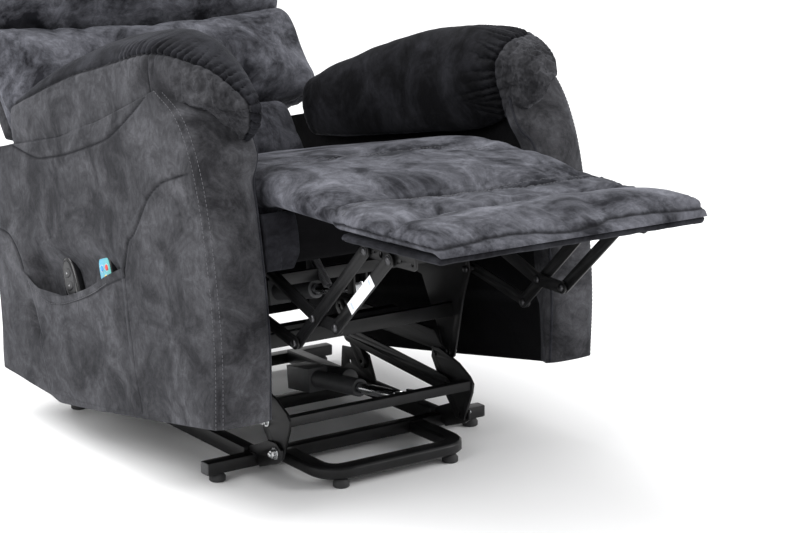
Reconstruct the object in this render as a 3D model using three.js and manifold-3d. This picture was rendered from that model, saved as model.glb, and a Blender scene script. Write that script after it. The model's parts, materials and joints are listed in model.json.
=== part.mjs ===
// Powered lift recliner chair: floor base, parallelogram lift, carriage, upholstered seat
// frame, pantograph footrest and reclining back. Millimetres, +Z up. The sitter faces -Y and
// +X is the sitter's left. The pose is part lifted, tilted back, footrest out, back reclined.
import * as THREE from "three";
import { mergeVertices } from "three/addons/utils/BufferGeometryUtils.js";
import Module from "manifold-3d";

const wasm = await Module();
wasm.setup();

// ---------------------------------------------------------------- driving dimensions
const GAP = 0.3; // clearance between faces that touch
const ORIGIN_Y = -175.9; // the model's origin sits this far behind the front cross tube's centre

// Sideways planes of the linkage, as [inner x, outer x] of each sheet
const TIE_PLANE = [189, 193];
const LINK_PLANE = [195, 200];
const BASE_PLANE = [202, 206];
const CARRIAGE_PLANE = [208, 212];
const SIDE_PLANE = [224, 228];
const DRIVE_PLANE = [230, 234];
const ARM_LINK_PLANE = [236, 240];
const STAY_PLANE = [242, 246];
const LINK_RADIUS = 11;
const PIN_RADIUS = 4;

// Floor base
const TUBE_HALF_LENGTH = 302;
const TUBE_DEPTH = 24;
const TUBE_BOTTOM = 16;
const TUBE_TOP = 38;
const RAIL_X = 204;
const RAIL_WIDTH = 24;
const RAIL_TOP = 46;
const MID_TUBE_Y = 262;
const REAR_TUBE_Y = 528;
const FOOT_RADIUS = 15;
const FRONT_FOOT_X = 278;
const REAR_FOOT_X = 282;
const LOOP_FOOT_X = 118;
const LOOP_LEG_X = 143;
const LOOP_FRONT_Y = -152;
const LOOP_WIDTH = 34;
const LOOP_CORNER = 44;

// Lift parallelogram, as [y, z] pivots
const LIFT_LOWER = [-77, 57];
const LIFT_UPPER = [-2, 155];
const TORQUE_TUBE = [-101, 119];
const TORQUE_TUBE_SIZE = 17;
const REAR_LOWER = [247.5, 82];
const HALF_LINK = [37.5, 49];

// Upholstered frame, drawn level and then tilted back about the lift's upper pivot
const TILT_BACK = THREE.MathUtils.degToRad(9.6);
const ARM_OUTER = 400;
const ARM_INNER = 291;
const ARM_INNER_LOW = 306;
const ARM_BOTTOM = 134;
const SEAT_HALF_WIDTH = 277;
const PAD_INNER = 252;
const BOARD_HALF_WIDTH = 262;
const BOARD_SLOPE = 0.13; // drop of the footrest board toward its front edge

// Footrest pantograph, as level [y, z] pivots
const DRIVE_HINGE = [-129, 382];
const DRIVE_TO_LONG = [-283, 299];
const DRIVE_TO_SHORT = [-348, 286];
const LONG_FOOT = [-227, 256];
const BOARD_LONG = [-454, 413];
const BOARD_SHORT = [-519, 400];
const STAY_HINGE = [-81, 313];

// Back, drawn along its own length from the recline hinge
const BACK_HINGE = [456, 490];
const BACK_LEAN = THREE.MathUtils.degToRad(30);
const LUMBAR_HALF_WIDTH = 243;
const BACK_HALF_WIDTH = 335; // above the arms
const BACK_WINGS_FROM = 192; // height along the back where it widens over the arms
const BACK_FACE = -41;
const BACK_PAD_REAR = 62;
const BACK_SEAMS = [22, 180, 399, 672];

// Powered cylinders
const LIFT_MOTOR_X = 70;
const LIFT_MOTOR_PIVOT = [300, 66];
const LIFT_MOTOR_EYE = [-77, 111];
const LIFT_ROD_INSIDE = 95;
const FOOTREST_MOTOR_X = -60;
const FOOTREST_MOTOR_PIVOT = [205, 300];
const FOOTREST_MOTOR_EYE = [-149, 322];
const FOOTREST_ROD_INSIDE = 60;

// ---------------------------------------------------------------- materials
const finish = (color, roughness, metalness) =>
  new THREE.MeshStandardMaterial({ color, roughness, metalness });
const MATERIAL = {
  steel: () => finish(0x141415, 0.42, 0.55),
  zinc: () => finish(0xa9abad, 0.35, 0.9),
  rubber: () => finish(0x121212, 0.8, 0),
  fabric: () => finish(0x47474d, 0.92, 0),
  board: () => finish(0x8a6f4d, 0.75, 0),
  plastic: () => finish(0x1a1a1c, 0.45, 0),
  blue: () => finish(0x2a5fb8, 0.5, 0),
  red: () => finish(0xb8322a, 0.5, 0),
  yellow: () => finish(0xd9b92e, 0.5, 0),
};

// ---------------------------------------------------------------- geometry helpers
const ALONG_X = new THREE.Matrix4().makeBasis(
  new THREE.Vector3(0, 1, 0), new THREE.Vector3(0, 0, 1), new THREE.Vector3(1, 0, 0));

// A profile drawn in (y, z) and extruded across x, with an optional rounded edge
function prism(shape, [x0, x1], edge = 0, segments = 6) {
  const geometry = new THREE.ExtrudeGeometry(shape, {
    depth: x1 - x0 - 2 * edge, curveSegments: segments, bevelEnabled: edge > 0,
    bevelSize: edge, bevelOffset: -edge, bevelThickness: edge, bevelSegments: 3,
  });
  return geometry.applyMatrix4(ALONG_X).translate(x0 + edge, 0, 0);
}

const outline = (points) => new THREE.Shape(points.map(([y, z]) => new THREE.Vector2(y, z)));

function box([x0, x1], [y0, y1], [z0, z1]) {
  const geometry = new THREE.BoxGeometry(x1 - x0, y1 - y0, z1 - z0);
  return geometry.translate((x0 + x1) / 2, (y0 + y1) / 2, (z0 + z1) / 2);
}

// The same sheet plane on the right (-X) or left (+X) side
const planeOn = (side, [inner, outer]) => (side > 0 ? [inner, outer] : [-outer, -inner]);

function pinHole([y, z], radius = PIN_RADIUS) {
  const hole = new THREE.Path();
  hole.absarc(y, z, radius, 0, 2 * Math.PI, true);
  return hole;
}

// A flat bar with round ends that passes through its pivots, with a hole at each
function barShape(pivots, radius = LINK_RADIUS) {
  const first = new THREE.Vector2(...pivots[0]);
  const last = new THREE.Vector2(...pivots[pivots.length - 1]);
  const angle = Math.atan2(last.y - first.y, last.x - first.x);
  const shape = new THREE.Shape();
  shape.absarc(first.x, first.y, radius, angle + Math.PI / 2, angle + 1.5 * Math.PI, false);
  shape.absarc(last.x, last.y, radius, angle - Math.PI / 2, angle + Math.PI / 2, false);
  shape.closePath();
  shape.holes = pivots.map((pivot) => pinHole(pivot));
  return shape;
}

const bar = (side, plane, pivots, radius) =>
  prism(barShape(pivots, radius), planeOn(side, plane), 0, 6);

// A plate from its corner list with pivot holes
function plate(side, plane, corners, pivots) {
  const shape = outline(corners);
  shape.holes = pivots.map((pivot) => pinHole(pivot));
  return prism(shape, planeOn(side, plane), 0, 6);
}

const square = ([y, z], half) => outline([[y - half, z - half], [y + half, z - half],
  [y + half, z + half], [y - half, z + half]]);

// A square bar along x, welded between two cheeks
const crossBar = (halfLength, centre, size) =>
  prism(square(centre, size / 2), [-halfLength, halfLength]);

// A square tube along x, open at both ends
function crossTube(halfLength, [y, z], size, wall = 2) {
  const shape = square([y, z], size / 2);
  const inner = size / 2 - wall;
  shape.holes = [new THREE.Path([[-1, -1], [-1, 1], [1, 1], [1, -1]]
    .map(([a, b]) => new THREE.Vector2(y + a * inner, z + b * inner)))];
  return prism(shape, [-halfLength, halfLength]);
}

// A closed body through rings of points; every ring lists the same number of [x, y, z]
function loft(rings) {
  const count = rings[0].length;
  const index = [];
  const cap = (ring, offset, facing) => {
    const flat = ring.map(([x, , z]) => new THREE.Vector2(x, z));
    const winding = Math.sign(THREE.ShapeUtils.area(flat)) * facing;
    for (const [a, b, c] of THREE.ShapeUtils.triangulateShape(flat, [])) {
      const same = Math.sign(THREE.ShapeUtils.area([flat[a], flat[b], flat[c]])) === winding;
      index.push(offset + a, offset + (same ? b : c), offset + (same ? c : b));
    }
  };
  for (let i = 0; i + 1 < rings.length; i++) {
    for (let j = 0; j < count; j++) {
      const a = i * count + j;
      const b = i * count + ((j + 1) % count);
      index.push(a, b, b + count, a, b + count, a + count);
    }
  }
  cap(rings[0], 0, -1);
  cap(rings[rings.length - 1], (rings.length - 1) * count, 1);
  const geometry = new THREE.BufferGeometry();
  const positions = new Float32Array(rings.flat(2));
  geometry.setAttribute("position", new THREE.BufferAttribute(positions, 3));
  geometry.setIndex(index);
  if (signedVolume(geometry) < 0) index.reverse();
  geometry.setIndex(index);
  return geometry;
}

function signedVolume(geometry) {
  const at = geometry.attributes.position;
  const corner = (i) => new THREE.Vector3().fromBufferAttribute(at, geometry.index.getX(i));
  let volume = 0;
  for (let i = 0; i < geometry.index.count; i += 3) {
    volume += corner(i).dot(corner(i + 1).cross(corner(i + 2)));
  }
  return volume;
}

function toSolid(geometry) {
  const bare = geometry.clone();
  bare.deleteAttribute("normal");
  bare.deleteAttribute("uv");
  const merged = mergeVertices(bare, 1e-3);
  return new wasm.Manifold(new wasm.Mesh({
    numProp: 3,
    vertProperties: new Float32Array(merged.attributes.position.array),
    triVerts: new Uint32Array(merged.index.array),
  }));
}

function fromSolid(solid) {
  const mesh = solid.getMesh();
  const geometry = new THREE.BufferGeometry();
  geometry.setAttribute("position", new THREE.BufferAttribute(mesh.vertProperties, 3));
  geometry.setIndex(new THREE.BufferAttribute(mesh.triVerts, 1));
  return geometry;
}

const joined = (...pieces) => fromSolid(pieces.map(toSolid).reduce((a, b) => a.add(b)));
const cut = (piece, ...tools) =>
  fromSolid(tools.map(toSolid).reduce((a, b) => a.subtract(b), toSolid(piece)));

function add(parent, name, geometry, material) {
  const mesh = new THREE.Mesh(geometry, material());
  mesh.name = name;
  parent.add(mesh);
  return mesh;
}

const SIDES = [["right", -1], ["left", 1]];
const sum = (a, b) => a.map((value, i) => value + b[i]);
const smooth = (points, steps) =>
  new THREE.SplineCurve(points.map(([y, z]) => new THREE.Vector2(y, z)))
    .getPoints(steps).map(({ x, y }) => [x, y]);

// ---------------------------------------------------------------- floor base
function loopGeometry() {
  const x = LOOP_LEG_X;
  const z = (TUBE_BOTTOM + TUBE_TOP) / 2;
  const rear = -TUBE_DEPTH / 2 - GAP;
  const path = new THREE.CurvePath();
  const at = (px, py) => new THREE.Vector3(px, py, z);
  const straight = (a, b) => path.add(new THREE.LineCurve3(a, b));
  const turn = (a, b, c) => path.add(new THREE.QuadraticBezierCurve3(a, b, c));
  straight(at(-x, rear), at(-x, LOOP_FRONT_Y + LOOP_CORNER));
  turn(at(-x, LOOP_FRONT_Y + LOOP_CORNER), at(-x, LOOP_FRONT_Y), at(LOOP_CORNER - x, LOOP_FRONT_Y));
  straight(at(LOOP_CORNER - x, LOOP_FRONT_Y), at(x - LOOP_CORNER, LOOP_FRONT_Y));
  turn(at(x - LOOP_CORNER, LOOP_FRONT_Y), at(x, LOOP_FRONT_Y), at(x, LOOP_FRONT_Y + LOOP_CORNER));
  straight(at(x, LOOP_FRONT_Y + LOOP_CORNER), at(x, rear));
  const [high, wide, round] = [(TUBE_TOP - TUBE_BOTTOM) / 2, LOOP_WIDTH / 2, 4];
  const section = new THREE.Shape([[high, wide - round], [high - round, wide],
    [round - high, wide], [-high, wide - round], [-high, round - wide], [round - high, -wide],
    [high - round, -wide], [high, round - wide]].map(([x, y]) => new THREE.Vector2(x, y)));
  return new THREE.ExtrudeGeometry(section, {
    extrudePath: path, steps: 40, bevelEnabled: false,
  });
}

function foot(x, y) {
  const profile = [[0, 0], [FOOT_RADIUS - 2, 0], [FOOT_RADIUS, 2], [FOOT_RADIUS, 9],
    [FOOT_RADIUS - 5, TUBE_BOTTOM - GAP], [0, TUBE_BOTTOM - GAP]];
  const geometry = new THREE.LatheGeometry(profile.map(([r, z]) => new THREE.Vector2(r, z)), 16);
  return geometry.rotateX(Math.PI / 2).translate(x, y, 0);
}

function buildBase(parent) {
  const half = TUBE_DEPTH / 2;
  const tubeZ = [TUBE_BOTTOM, TUBE_TOP];
  add(parent, "base_front_tube",
    box([-TUBE_HALF_LENGTH, TUBE_HALF_LENGTH], [-half, half], tubeZ), MATERIAL.steel);
  add(parent, "base_front_loop", loopGeometry(), MATERIAL.steel);
  add(parent, "base_rear_tube", box([-TUBE_HALF_LENGTH, TUBE_HALF_LENGTH],
    [REAR_TUBE_Y - half, REAR_TUBE_Y + half], tubeZ), MATERIAL.steel);
  const railInner = RAIL_X - RAIL_WIDTH / 2;
  add(parent, "base_mid_tube", box([GAP - railInner, railInner - GAP],
    [MID_TUBE_Y - half, MID_TUBE_Y + half], tubeZ), MATERIAL.steel);
  for (const [name, side] of SIDES) {
    add(parent, `base_side_rail_${name}`, box(planeOn(side, [railInner, railInner + RAIL_WIDTH]),
      [half + GAP, REAR_TUBE_Y - half - GAP], [TUBE_BOTTOM + 2, RAIL_TOP]), MATERIAL.steel);
    add(parent, `base_pivot_plate_${name}`, pivotPlate(side), MATERIAL.steel);
    add(parent, `base_rear_plate_${name}`, rearPlate(side), MATERIAL.steel);
    add(parent, `front_foot_${name}`, foot(side * FRONT_FOOT_X, 0), MATERIAL.rubber);
    add(parent, `loop_foot_${name}`, foot(side * LOOP_FOOT_X, LOOP_FRONT_Y), MATERIAL.rubber);
    add(parent, `rear_foot_${name}`, foot(side * REAR_FOOT_X, REAR_TUBE_Y), MATERIAL.rubber);
  }
}

// Upright sheet welded round the cross tube's front and top, carrying the front lift pivot
function pivotPlate(side) {
  const top = TUBE_TOP + GAP;
  const face = -TUBE_DEPTH / 2 - GAP;
  const [y, z] = LIFT_LOWER;
  const corners = [[face - 12, TUBE_BOTTOM + 2], [face, TUBE_BOTTOM + 6], [face, top],
    [10, top], [10, top + 9], [y + 24, z + 17], [y - 2, z + 19], [y - 19, z + 9],
    [y - 20, z - 8], [y - 6, z - 18]];
  return plate(side, BASE_PLANE, corners, [LIFT_LOWER]);
}

// Upright sheet on the side rail, carrying the rear lift pivot
function rearPlate(side) {
  const sill = RAIL_TOP + GAP;
  const [y, z] = REAR_LOWER;
  const corners = [[y - 42, sill], [y + 82, sill], [y + 78, z + 14], [y + 4, z + 22],
    [y - 16, z + 16]];
  return plate(side, BASE_PLANE, corners, [REAR_LOWER, [y + 50, z - 12]]);
}

// ---------------------------------------------------------------- lift and carriage
function buildLift(parent) {
  const [ty, tz] = TORQUE_TUBE;
  const middle = sum(LIFT_LOWER, HALF_LINK);
  const cheek = (side) => plate(side, LINK_PLANE, [
    [LIFT_LOWER[0] - 12, LIFT_LOWER[1] - 10], [LIFT_LOWER[0] + 12, LIFT_LOWER[1] - 10],
    [middle[0] + 16, middle[1] - 12], [LIFT_UPPER[0] + 14, LIFT_UPPER[1] - 8],
    [LIFT_UPPER[0] + 12, LIFT_UPPER[1] + 11], [LIFT_UPPER[0] - 10, LIFT_UPPER[1] + 14],
    [ty + 30, tz + 34], [ty - 4, tz + 16], [ty - 15, tz + 4], [ty - 12, tz - 14],
  ], [LIFT_LOWER, middle, LIFT_UPPER]);
  const tube = crossBar(LINK_PLANE[0] + 1, TORQUE_TUBE, TORQUE_TUBE_SIZE);
  const lug = (x) => prism(outline([[ty + 6, tz - 8], [ty + 34, tz - 19], [ty + 34, tz + 3],
    [ty + 6, tz + 8]]), [x - 2, x + 2]);
  const lugs = [-13, 13].map((offset) => lug(LIFT_MOTOR_X + offset));
  add(parent, "lift_link_frame", joined(cheek(-1), cheek(1), tube, ...lugs), MATERIAL.steel);

  const rearMiddle = sum(REAR_LOWER, HALF_LINK);
  const rearUpper = sum(rearMiddle, HALF_LINK);
  for (const [name, side] of SIDES) {
    add(parent, `tie_bar_${name}`, bar(side, TIE_PLANE, [middle, rearMiddle], 16), MATERIAL.steel);
    add(parent, `rear_lift_link_${name}`,
      bar(side, LINK_PLANE, [REAR_LOWER, rearMiddle, rearUpper], 14), MATERIAL.steel);
  }
  add(parent, "carriage", carriageGeometry(rearUpper), MATERIAL.steel);
}

// Two level rails between the tops of the front and rear links, with a welded cross tube
function carriageGeometry(rearUpper) {
  const [cy, cz] = LIFT_UPPER;
  const [gy, gz] = rearUpper;
  const rail = (side) => plate(side, CARRIAGE_PLANE, [
    [cy - 16, cz - 6], [cy - 6, cz - 16], [cy + 10, cz - 14], [cy + 24, cz + 2],
    [gy - 20, cz + 4], [gy + 16, gz - 14], [gy + 18, gz + 12], [gy, gz + 18],
    [cy + 24, cz + 40], [cy + 4, cz + 18], [cy - 14, cz + 10],
  ], [LIFT_UPPER, rearUpper]);
  const tube = crossBar(CARRIAGE_PLANE[0] + 1, [150, 204], 22);
  return joined(rail(-1), rail(1), tube);
}

// ---------------------------------------------------------------- powered cylinders
// The housing lies along the line from its rear pivot to the eye of its rod
function cylinderPair(parent, prefix, x, pivot, eye, inside) {
  const length = Math.hypot(eye[0] - pivot[0], eye[1] - pivot[1]);
  const group = new THREE.Group();
  group.position.set(x, pivot[0], pivot[1]);
  group.rotation.x = -Math.atan2(eye[1] - pivot[1], pivot[0] - eye[0]);
  parent.add(group);
  const tubeRadius = 17;
  const housingEnd = -0.62 * length;
  const barrel = new THREE.CylinderGeometry(tubeRadius, tubeRadius, -housingEnd - 40, 20)
    .translate(0, (housingEnd - 40) / 2, 0);
  const bore = new THREE.CylinderGeometry(10.4, 10.4, 150, 20).translate(0, housingEnd + 70, 0);
  const gearbox = box([-22, 22], [-92, -14], [-24, 22]);
  const motor = new THREE.CylinderGeometry(19, 19, 96, 20).rotateX(Math.PI / 2)
    .rotateX(Math.PI / 2).translate(38, -96, 0);
  const ear = box([-6, 6], [-20, 8], [-8, 8]);
  const body = cut(joined(barrel, gearbox, motor, ear), bore);
  add(group, `${prefix}_housing`, body, MATERIAL.plastic);
  const rodLength = length + housingEnd + inside - 12;
  const rod = new THREE.CylinderGeometry(10, 10, rodLength, 20)
    .translate(0, -length + 12 + rodLength / 2, 0);
  const eyeBlock = box([-9, 9], [-length - 9, -length + 20], [-8, 8]);
  add(group, `${prefix}_rod`, joined(rod, eyeBlock), MATERIAL.zinc);
}

// ---------------------------------------------------------------- upholstered frame
const ARM_FRONT = [[-215, 134], [-238, 262], [-243, 400], [-232, 541], [-193, 640], [-125, 694]];
const ARM_TOP = [[-125, 694], [85, 652], [249, 626], [474, 618], [596, 612]];

function armOutline() {
  const rear = [[596, 612], [598, 330], [614, 190]];
  const under = [[404, 147], [316, ARM_BOTTOM]];
  return outline([...smooth(ARM_FRONT, 14), ...smooth(ARM_TOP, 8).slice(1), ...rear.slice(1),
    ...under]);
}

function armGeometry(side) {
  const block = prism(armOutline(), planeOn(side, [ARM_INNER, ARM_OUTER]));
  const clearance = box(planeOn(side, [ARM_INNER - 5, ARM_INNER_LOW]), [-175, 640], [100, 252]);
  if (side > 0) return cut(block, clearance);
  return cut(block, clearance, pocketRecess());
}

// Arm pad cross sections from nose to rear: [y, top z, outer x, hem z, seat z at the outer edge]
const PAD_STATIONS = [[-262, 672, 316, 606, 634], [-248, 710, 334, 584, 642],
  [-222, 736, 352, 572, 656], [-180, 754, 374, 566, 674], [-125, 768, 391, 564, 686],
  [-40, 771, 396, 564, 668], [90, 760, 398, 564, 642], [260, 732, 398, 562, 616],
  [400, 700, 398, 566, 611], [455, 680, 397, 570, 609], [484, 656, 392, 588, 607]];

function padRing([y, top, outer, hem, seat]) {
  const onFront = y < ARM_TOP[0][0];
  const rise = top - seat;
  const middle = (PAD_INNER + outer) / 2;
  const inner = ARM_INNER - 1;
  return [
    [outer, seat], [outer, top - 0.5 * rise], [outer - 12, top - 0.2 * rise],
    [middle + 14, top], [middle - 18, top - 2], [PAD_INNER + 16, top - 0.22 * rise],
    [PAD_INNER + 2, top - 0.5 * rise], [PAD_INNER, (hem + top) / 2 - 20],
    [PAD_INNER + 10, hem + 8], [inner - 14, hem], [inner, hem + 6],
    [inner + 1, onFront ? hem + 8 : seat],
  ].map(([x, z]) => [x, y, z]);
}

// The pad is hollowed underneath to sit over the arm's top and front curve
function armPadGeometry(side) {
  const pad = loft(PAD_STATIONS.map(padRing));
  const arm = prism(armOutline(), [ARM_INNER - 0.7, ARM_OUTER + 20]);
  const skin = arm.clone().translate(0, -0.7, 0.7);
  const geometry = cut(pad, arm, skin);
  return side > 0 ? geometry : mirrored(geometry);
}

function mirrored(geometry) {
  const copy = geometry.clone().scale(-1, 1, 1);
  copy.setIndex([...copy.index.array].reverse());
  return copy;
}

// Side pocket, sewn into the right arm's outer face
const POCKET_FLOOR = 262;
const POCKET_Y = [60, 440];
function pocketRecess() {
  return box([-ARM_OUTER - 5, -ARM_OUTER + 38], POCKET_Y, [POCKET_FLOOR, 442]);
}

function pocketFlap() {
  const [front, rear] = POCKET_Y;
  const mouth = [[front + 1, 392], [front + 125, 357], [rear - 130, 337], [rear - 1, 372]];
  return prism(outline([[front + 1, POCKET_FLOOR + 1], [rear - 1, POCKET_FLOOR + 1],
    ...smooth(mouth, 10).reverse()]), [-ARM_OUTER, -ARM_OUTER + 3]);
}

function buildUpholstery(parent) {
  const sideX = SIDE_PLANE[0];
  const cross = crossTube(sideX - GAP, [-17, 236], 25);
  add(parent, "frame_cross_tube", cross, MATERIAL.steel);
  for (const [name, side] of SIDES) {
    add(parent, `side_plate_${name}`, sidePlate(side), MATERIAL.steel);
    add(parent, `arm_${name}`, armGeometry(side), MATERIAL.fabric);
    add(parent, `arm_pad_${name}`, armPadGeometry(side), MATERIAL.fabric);
  }
  add(parent, "front_rail", box([-290, 290], [-238, -213], [389, 472]), MATERIAL.board);
  add(parent, "seat_deck", box([-288, 288], [-212, 410], [408, 422]), MATERIAL.board);
  const cushion = outline([[-236, 480], [-206, 480], [-206, 424], [414, 424], [414, 545],
    [120, 556], [-180, 556], [-228, 544], [-236, 530]]);
  add(parent, "seat_cushion", prism(cushion, [-SEAT_HALF_WIDTH, SEAT_HALF_WIDTH]),
    MATERIAL.fabric);
  const calf = outline([[-418, 450], [-238, 484], [-238, 532], [-418, 486]]);
  add(parent, "calf_pad", prism(calf, [-SEAT_HALF_WIDTH, SEAT_HALF_WIDTH]), MATERIAL.fabric);
  add(parent, "side_pocket", pocketFlap(), MATERIAL.fabric);
  buildControls(parent);
}

// Pressed sheet that carries the seat, the footrest links and the recline hinge
function sidePlate(side) {
  const [cy, cz] = LIFT_UPPER;
  const corners = [[cy - 17, cz - 8], [cy, cz - 18], [cy + 17, cz - 8], [cy + 26, cz + 44],
    [60, 300], [226, 356], ...[[18, -84], [18, 10], [0, 17], [-18, 5], [-30, -88]].map(
      (offset) => sum(BACK_HINGE, offset)),
    [-118, 402], [-146, 396], [-144, 371], [-118, 364], [-89, 334], [-94, 312],
    [-66, 262], [-46, 212]];
  return plate(side, SIDE_PLANE, corners, [LIFT_UPPER, DRIVE_HINGE, STAY_HINGE, BACK_HINGE]);
}

// Handset and remote, standing in the pocket, with push buttons in shallow wells
const KEY_DEPTH = [-10.8, -7.9];
const WELL_DEPTH = [-10, -6.2];
const WELL_CLEARANCE = 0.4;

function buildControls(parent) {
  const x = -ARM_OUTER + 18;
  const ellipse = (y, z, halfWidth, halfHeight) => {
    const shape = new THREE.Shape();
    shape.absellipse(y, z, halfWidth, halfHeight, 0, 2 * Math.PI, false);
    return shape;
  };
  const handset = new THREE.Group();
  handset.position.set(x, 292, 350);
  handset.rotation.x = THREE.MathUtils.degToRad(-14);
  parent.add(handset);
  addKeypad(handset, "handset_body", prism(ellipse(0, 0, 27, 62), [-9, 9], 3, 10), [
    ["handset_up_button", ellipse, [0, 30, 14, 9], MATERIAL.rubber],
    ["handset_down_button", ellipse, [0, 6, 14, 9], MATERIAL.rubber],
  ]);
  const remote = new THREE.Group();
  remote.position.set(x, 140, 342);
  remote.rotation.x = THREE.MathUtils.degToRad(-8);
  parent.add(remote);
  const shell = outline([[-24, -70], [24, -70], [24, 66], [18, 72], [-18, 72], [-24, 66]]);
  addKeypad(remote, "remote_body", prism(shell, [-9, 9], 2), [
    ["remote_blue_button", ellipse, [10, 50, 5.5, 5.5], MATERIAL.blue],
    ["remote_red_button", ellipse, [-8, 50, 5.5, 5.5], MATERIAL.red],
    ["remote_yellow_button", ellipse, [0, 32, 5.5, 5.5], MATERIAL.yellow],
  ]);
}

function addKeypad(group, name, body, keys) {
  const wells = keys.map(([, shape, [y, z, w, h]]) =>
    prism(shape(y, z, w + WELL_CLEARANCE, h + WELL_CLEARANCE), WELL_DEPTH, 0, 6));
  add(group, name, cut(body, ...wells), MATERIAL.plastic);
  for (const [key, shape, size, material] of keys) {
    add(group, key, prism(shape(...size), KEY_DEPTH, 0, 6), material);
  }
}

// ---------------------------------------------------------------- footrest
// A point at this y, lifted off the board's own slope through its rear pivot
function boardLine(y, lift) {
  return [y, BOARD_LONG[1] + BOARD_SLOPE * (y - BOARD_LONG[0]) + lift];
}

function buildFootrest(parent) {
  const link = (side) => bar(side, DRIVE_PLANE, [DRIVE_TO_LONG, DRIVE_TO_SHORT], LINK_RADIUS);
  const lever = (side) => bar(side, DRIVE_PLANE, [DRIVE_HINGE, DRIVE_TO_LONG], LINK_RADIUS + 1);
  const shaft = sum(DRIVE_HINGE, [-30, -16]);
  const tube = crossBar(DRIVE_PLANE[0] + 1, sum(shaft, [-14, -8]), 20);
  const eye = FOOTREST_MOTOR_EYE;
  const lug = (offset) => prism(outline([[eye[0] - 16, shaft[1] - 4], [eye[0] - 10, eye[1] - 10],
    [eye[0] + 10, eye[1] - 10], [eye[0] + 2, shaft[1] - 4]]),
    [FOOTREST_MOTOR_X + offset - 2, FOOTREST_MOTOR_X + offset + 2]);
  add(parent, "footrest_drive_frame",
    joined(link(-1), link(1), lever(-1), lever(1), tube, lug(-13), lug(13)), MATERIAL.steel);
  for (const [name, side] of SIDES) {
    add(parent, `long_link_${name}`,
      bar(side, ARM_LINK_PLANE, [LONG_FOOT, BOARD_LONG]), MATERIAL.steel);
    add(parent, `short_link_${name}`,
      bar(side, ARM_LINK_PLANE, [DRIVE_TO_SHORT, BOARD_SHORT]), MATERIAL.steel);
    add(parent, `stay_link_${name}`,
      bar(side, STAY_PLANE, [STAY_HINGE, LONG_FOOT]), MATERIAL.steel);
    add(parent, `footrest_bracket_${name}`, footrestBracket(side), MATERIAL.steel);
  }
  const board = outline([boardLine(-686, 16.5), boardLine(-434, 16.5), boardLine(-434, 27),
    boardLine(-686, 27)]);
  add(parent, "footrest_board", prism(board, [-BOARD_HALF_WIDTH, BOARD_HALF_WIDTH]),
    MATERIAL.board);
  const pad = outline([boardLine(-694, 28), boardLine(-422, 28), boardLine(-422, 66),
    boardLine(-440, 67), boardLine(-500, 65), boardLine(-664, 64), boardLine(-690, 54),
    boardLine(-699, 40)]);
  add(parent, "footrest_pad", prism(pad, [-SEAT_HALF_WIDTH, SEAT_HALF_WIDTH]), MATERIAL.fabric);
}

// Sheet bracket under the footrest board
function footrestBracket(side) {
  const corners = [boardLine(-584, 2), boardLine(-577, -9), boardLine(-520, -14),
    boardLine(-444, -9), boardLine(-441, -4), boardLine(-441, 16), boardLine(-584, 16)];
  return plate(side, DRIVE_PLANE, corners, [BOARD_LONG, BOARD_SHORT]);
}

// ---------------------------------------------------------------- back
function buildBack(parent) {
  const back = new THREE.Group();
  back.position.set(0, ...BACK_HINGE);
  back.rotation.x = -BACK_LEAN;
  parent.add(back);
  const top = BACK_SEAMS[BACK_SEAMS.length - 1];
  const panel = (halfWidth, low) => box([8 - halfWidth, halfWidth - 8],
    [BACK_PAD_REAR + 2, BACK_PAD_REAR + 32], [low, top - 12]);
  const ear = (side) => plate(side, DRIVE_PLANE, [[-16, -14], [0, -18], [BACK_PAD_REAR + 10, -20],
    [BACK_PAD_REAR + 10, 18], [0, 18], [-14, 12]], [[0, 0]]);
  add(back, "back_frame", joined(panel(LUMBAR_HALF_WIDTH, -24),
    panel(BACK_HALF_WIDTH, BACK_WINGS_FROM + 8), ear(-1), ear(1)), MATERIAL.board);
  const names = ["lumbar_cushion", "middle_cushion", "head_cushion"];
  names.forEach((name, i) => {
    const high = BACK_SEAMS[i + 1] - 0.5;
    const face = BACK_FACE - (i === 1 ? 6 : 0);
    const block = (low, halfWidth) => prism(outline([[BACK_PAD_REAR + 1, low],
      [BACK_PAD_REAR + 1, high], [face + 22, high], [face, high - 24], [face, low + 24],
      [face + 22, low]]), [-halfWidth, halfWidth]);
    const middle = block(BACK_SEAMS[i] + 0.5, i === 2 ? BACK_HALF_WIDTH : LUMBAR_HALF_WIDTH);
    add(back, name, i === 1 ? joined(middle, block(BACK_WINGS_FROM, BACK_HALF_WIDTH)) : middle,
      MATERIAL.fabric);
  });
}

// ---------------------------------------------------------------- assembly
const chair = new THREE.Group();
chair.position.set(0, ORIGIN_Y, 0);
buildBase(chair);
buildLift(chair);
cylinderPair(chair, "lift_cylinder", LIFT_MOTOR_X, LIFT_MOTOR_PIVOT, LIFT_MOTOR_EYE,
  LIFT_ROD_INSIDE);

// Everything above the carriage is drawn level inside a group that tilts about the lift's top
const tilted = new THREE.Group();
tilted.position.set(0, ...LIFT_UPPER);
tilted.rotation.x = -TILT_BACK;
chair.add(tilted);
const level = new THREE.Group();
level.position.set(0, -LIFT_UPPER[0], -LIFT_UPPER[1]);
tilted.add(level);
buildUpholstery(level);
buildFootrest(level);
buildBack(level);
cylinderPair(level, "footrest_cylinder", FOOTREST_MOTOR_X, FOOTREST_MOTOR_PIVOT,
  FOOTREST_MOTOR_EYE, FOOTREST_ROD_INSIDE);

export default chair;
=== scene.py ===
import json
import math

import bmesh
import bpy
import numpy as np
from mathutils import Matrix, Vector, kdtree, noise


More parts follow.
